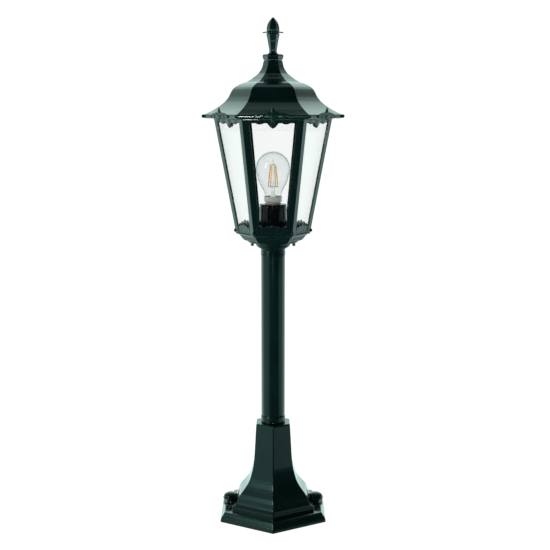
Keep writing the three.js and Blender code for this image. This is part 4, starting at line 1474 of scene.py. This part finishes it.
class LANTERN_OT_bulb(bpy.types.Operator):
    """Blows the clear bulb and makes its cap, contact, stem and filaments."""

    bl_idname = "lantern.bulb"
    bl_label = "Bulb"

    def execute(self, context):
        foot = CAP_LOW.z + 1.4
        top = CAP_HIGH.z
        body = thread(13.2, foot + 3.2, foot + 17, CAP_PITCH, 1.3, 11.6)
        collar = [
            (12.0, foot + 16.4), (13.0, foot + 16.4), (15.0, foot + 17.6), (15.5, foot + 19),
            (15.5, top - 0.6), (15.1, top), (14.4, top), (14.4, foot + 18.6),
            (12.0, foot + 17.6),
        ]
        cone = [
            (5.4, CAP_LOW.z), (7.4, CAP_LOW.z), (12.6, foot + 2), (13.0, foot + 3.6),
            (11.6, foot + 3.6), (5.4, foot + 0.6),
        ]
        cap = joined([
            body, turned(collar, cut=0.5, loop=True), turned(cone, cut=0.4, loop=True),
        ])
        eased(cap)
        settle("bulb_cap_rolled", cap, "bulb_nickel", "bulb", ["bulb_cap"])
        low, high = span("bulb_contact")
        tip = [
            (0, low.z), (3.6, low.z), (4.7, low.z + 0.4), (5, low.z + 0.9), (5, high.z),
            (0, high.z),
        ]
        settle(
            "bulb_tip", turned(tip, cut=0.4, sides=48), "bulb_nickel", "bulb_rise",
            ["bulb_contact"],
        )
        wall = soften(globe_line(True), 1.6) + soften(globe_line(False)[::-1], 1.6)
        rings = [round_ring(max(r, 1e-4), z, 96) for r, z in wall]
        settle("bulb_glass", skin(rings, True), "bulb_glass", "bulb", ["bulb_globe"])
        low, high = span("bulb_stem")
        stem = [
            (0, low.z), (11.6, low.z), (11.6, low.z + 1.2), (7.5, low.z + 3.4),
            (4.4, low.z + 7), (3.6, low.z + 12), (3.5, low.z + 24), (3.0, low.z + 29),
            (1.8, low.z + 32), (1.3, low.z + 36), (1.3, high.z - 1), (0, high.z),
        ]
        mesh = turned(stem, cut=1.2, sides=40)
        mesh.materials.append(stem_material())
        settle("bulb_stem_drawn", mesh, "bulb_glass", "bulb", ["bulb_stem"])
        self.filaments()
        return {"FINISHED"}

    def filaments(self):
        """Four phosphor sticks between two wire rings."""
        low, high = span("bulb_filaments")
        wide, narrow = HOOP_RADII
        sticks, wires = [], []
        for i in range(4):
            angle = i * math.pi / 2 + 0.5
            aim = Vector((math.cos(angle), math.sin(angle), 0))
            start = aim * wide + Vector((0, 0, low.z + 1.5))
            end = aim * (narrow - 0.2) + Vector((0, 0, high.z - 1.5))
            length = (end - start).length
            stick = turned(
                [(0, 0), (0.45, 0), (0.5, 2), (0.95, 2.6), (0.95, length - 2.6),
                 (0.5, length - 2), (0.45, length), (0, length)],
                cut=0.3, sides=16,
            )
            pose = Vector((0, 0, 1)).rotation_difference(end - start).to_matrix().to_4x4()
            stick.transform(Matrix.Translation(start * MM) @ pose)
            sticks.append(stick)
        for ring, level in ((wide, low.z + 1.3), (narrow, high.z - 1.3)):
            square = [
                (ring - 0.5, level - 0.5), (ring + 0.5, level - 0.5),
                (ring + 0.5, level + 0.5), (ring - 0.5, level + 0.5),
            ]
            wires.append(turned(square, cut=0.45, loop=True, sides=48))
        settle("bulb_sticks", joined(sticks), "filament_amber", "bulb", ["bulb_filaments"])
        settle("bulb_hoops", joined(wires), "bulb_nickel", "bulb")


# Stage, in metres

CAMERA_PLACE = (0.0034, -1.8366, 0.7288)
CAMERA_TILT = 80.934
FLOOR_Z = -0.0004
FLOOR_SIDES = 96


def place_camera(lens):
    """The camera in front of the lantern, a little above its middle."""
    data = bpy.data.cameras.new("camera")
    data.lens = lens
    data.sensor_width = 36.0
    camera = bpy.data.objects.new("camera", data)
    bpy.context.scene.collection.objects.link(camera)
    camera.location = CAMERA_PLACE
    camera.rotation_euler = (math.radians(CAMERA_TILT), 0, 0)
    bpy.context.scene.camera = camera


def place_light(name, spot, aim, size, power, tint=(1.0, 1.0, 1.0)):
    """A soft rectangular light that shines from a spot towards an aim."""
    data = bpy.data.lights.new(name, "AREA")
    data.shape = "RECTANGLE"
    data.size, data.size_y = size
    data.energy = power
    data.color = tint
    light = bpy.data.objects.new(name, data)
    bpy.context.scene.collection.objects.link(light)
    light.location = spot
    light.rotation_euler = (Vector(aim) - Vector(spot)).to_track_quat("-Z", "Y").to_euler()


def world_light(strength):
    """A pale studio: bright behind and beside, dim in front, white to look at."""
    world = bpy.data.worlds.new("studio")
    bpy.context.scene.world = world
    world.use_nodes = True
    world.node_tree.nodes.clear()
    wire = Wire(world.node_tree)
    aim = wire.node("ShaderNodeTexCoord", output="Generated")
    split = wire.node("ShaderNodeSeparateXYZ", None, {0: aim}).socket.node.outputs
    right, back, up = [Wire(wire.tree, split[i]) for i in range(3)]
    high = wire.ease(up, -0.05, 0.3)
    above = 0.13 * wire.ease(back, 0.1, 0.5) + 0.85 * wire.ease(back, 0.56, 0.85)
    level_with = 0.5 * wire.ease(back, 0.05, 0.45) + 0.6 * wire.ease(back, 0.6, 0.95)
    glow = above * high + level_with * (1 - high)
    ground = 1 - 0.8 * wire.ease(0 - up, 0.3, 0.6)
    left = 0.3 * wire.ease(0 - right, 0.35, 0.85) * (1 - 0.35 * wire.ease(up, 0.05, 0.5))
    low = 0.28 * wire.ease(right, 0.78, 0.86) * (1 - wire.ease(up, -0.08, 0.02))
    level = 0.008 + strength * glow * ground + left + low
    white = (1.0, 1.0, 1.0, 1.0)
    tone = (0.76, 1.0, 0.96, 1.0)
    sky = wire.node("ShaderNodeBackground", None, {"Color": tone, "Strength": level})
    plain = wire.node("ShaderNodeBackground", None, {"Color": white, "Strength": 1.05})
    seen = wire.node("ShaderNodeLightPath", output="Is Camera Ray")
    both = wire.node("ShaderNodeMixShader", None, {0: seen, 1: sky, 2: plain})
    wire.node("ShaderNodeOutputWorld", None, {"Surface": both})


def floor_material(colour):
    """A pale matt floor, lit from within so that it stays even."""
    material, wire = new_material("pale_floor")
    grain = wire.noise(3.0, 4.0)
    shade = wire.between(grain, [part * 0.985 for part in colour], colour)
    shader = principled(
        wire,
        {
            "Base Color": shade,
            "Roughness": 0.85 + 0.05 * grain,
            "Specular IOR Level": 0.1,
            "Emission Color": (1.0, 0.975, 0.98, 1.0),
            "Emission Strength": 0.96,
        },
    )
    close_material(wire, shader)
    return material


def lay_floor(size, colour):
    """A round floor just under the plinth, finer near the lantern."""
    rings = [round_ring(r / MM, FLOOR_Z / MM, FLOOR_SIDES) for r in (0.6, 3.0, size)]
    shape = bmesh.new()
    rows = [[shape.verts.new(p * MM) for p in ring] for ring in rings]
    shape.faces.new(rows[0])
    for low, high in zip(rows, rows[1:]):
        for i in range(FLOOR_SIDES):
            j = (i + 1) % FLOOR_SIDES
            shape.faces.new((low[i], high[i], high[j], low[j]))
    mesh = bpy.data.meshes.new("floor")
    bmesh.ops.recalc_face_normals(shape, faces=shape.faces)
    shape.to_mesh(mesh)
    shape.free()
    mesh.materials.append(floor_material(colour))
    floor = bpy.data.objects.new("floor", mesh)
    bpy.context.scene.collection.objects.link(floor)
    floor.visible_glossy = False


class LANTERN_OT_stage(bpy.types.Operator):
    """Lays the pale floor, lights it softly and sets the camera."""

    bl_idname = "lantern.stage"
    bl_label = "Stage"

    def execute(self, context):
        stage = context.scene.lantern_stage
        context.scene.view_settings.view_transform = "Standard"
        place_camera(stage.lens)
        lay_floor(stage.floor_size, stage.floor_colour)
        world_light(stage.backdrop)
        place_light("key", (-1.7, -1.3, 1.5), (0, 0, 0.45), (0.5, 1.2), 7)
        place_light("ceiling", (0, 0.4, 3.0), (0, 0, 0), (2.2, 1.0), 1.6, (0.7, 1, 0.95))
        place_light("glint", (-0.09, -1.95, 0.695), (0, 0, 0.71), (0.064, 0.07), 1.1)
        return {"FINISHED"}


PIECES = (
    LANTERN_OT_stage,
    LANTERN_OT_base,
    LANTERN_OT_anchors,
    LANTERN_OT_post,
    LANTERN_OT_clamp,
    LANTERN_OT_bowl,
    LANTERN_OT_thumb_nuts,
    LANTERN_OT_cage_floor,
    LANTERN_OT_bars,
    LANTERN_OT_panes,
    LANTERN_OT_crown,
    LANTERN_OT_roof,
    LANTERN_OT_crests,
    LANTERN_OT_finial,
    LANTERN_OT_lampholder,
    LANTERN_OT_bulb,
)


class LANTERN_PT_pieces(bpy.types.Panel):
    """Lists the lantern's settings and pieces."""

    bl_idname = "LANTERN_PT_pieces"
    bl_label = "Post Lantern"
    bl_space_type = "VIEW_3D"
    bl_region_type = "UI"
    bl_category = "Lantern"

    def draw(self, context):
        for group in SETTINGS:
            held = getattr(context.scene, group)
            for name in held.bl_rna.properties.keys():
                if name not in ("rna_type", "name"):
                    self.layout.prop(held, name)
        for piece in PIECES:
            self.layout.operator(piece.bl_idname)


SETTINGS = {
    "lantern_paint": LanternPaint,
    "lantern_casting": LanternCasting,
    "lantern_stage": LanternStage,
}


def register():
    """Adds the settings, the operators and the panel to Blender."""
    for kind in (*SETTINGS.values(), *PIECES, LANTERN_PT_pieces):
        bpy.utils.register_class(kind)
    for name, kind in SETTINGS.items():
        setattr(bpy.types.Scene, name, bpy.props.PointerProperty(type=kind))


def unregister():
    """Takes them away again."""
    for name in SETTINGS:
        delattr(bpy.types.Scene, name)
    for kind in reversed((*SETTINGS.values(), *PIECES, LANTERN_PT_pieces)):
        bpy.utils.unregister_class(kind)


def main():
    """Makes every piece through its operator."""
    register()
    for piece in PIECES:
        family, name = piece.bl_idname.split(".")
        getattr(getattr(bpy.ops, family), name)()


if __name__ == "__main__":
    main()
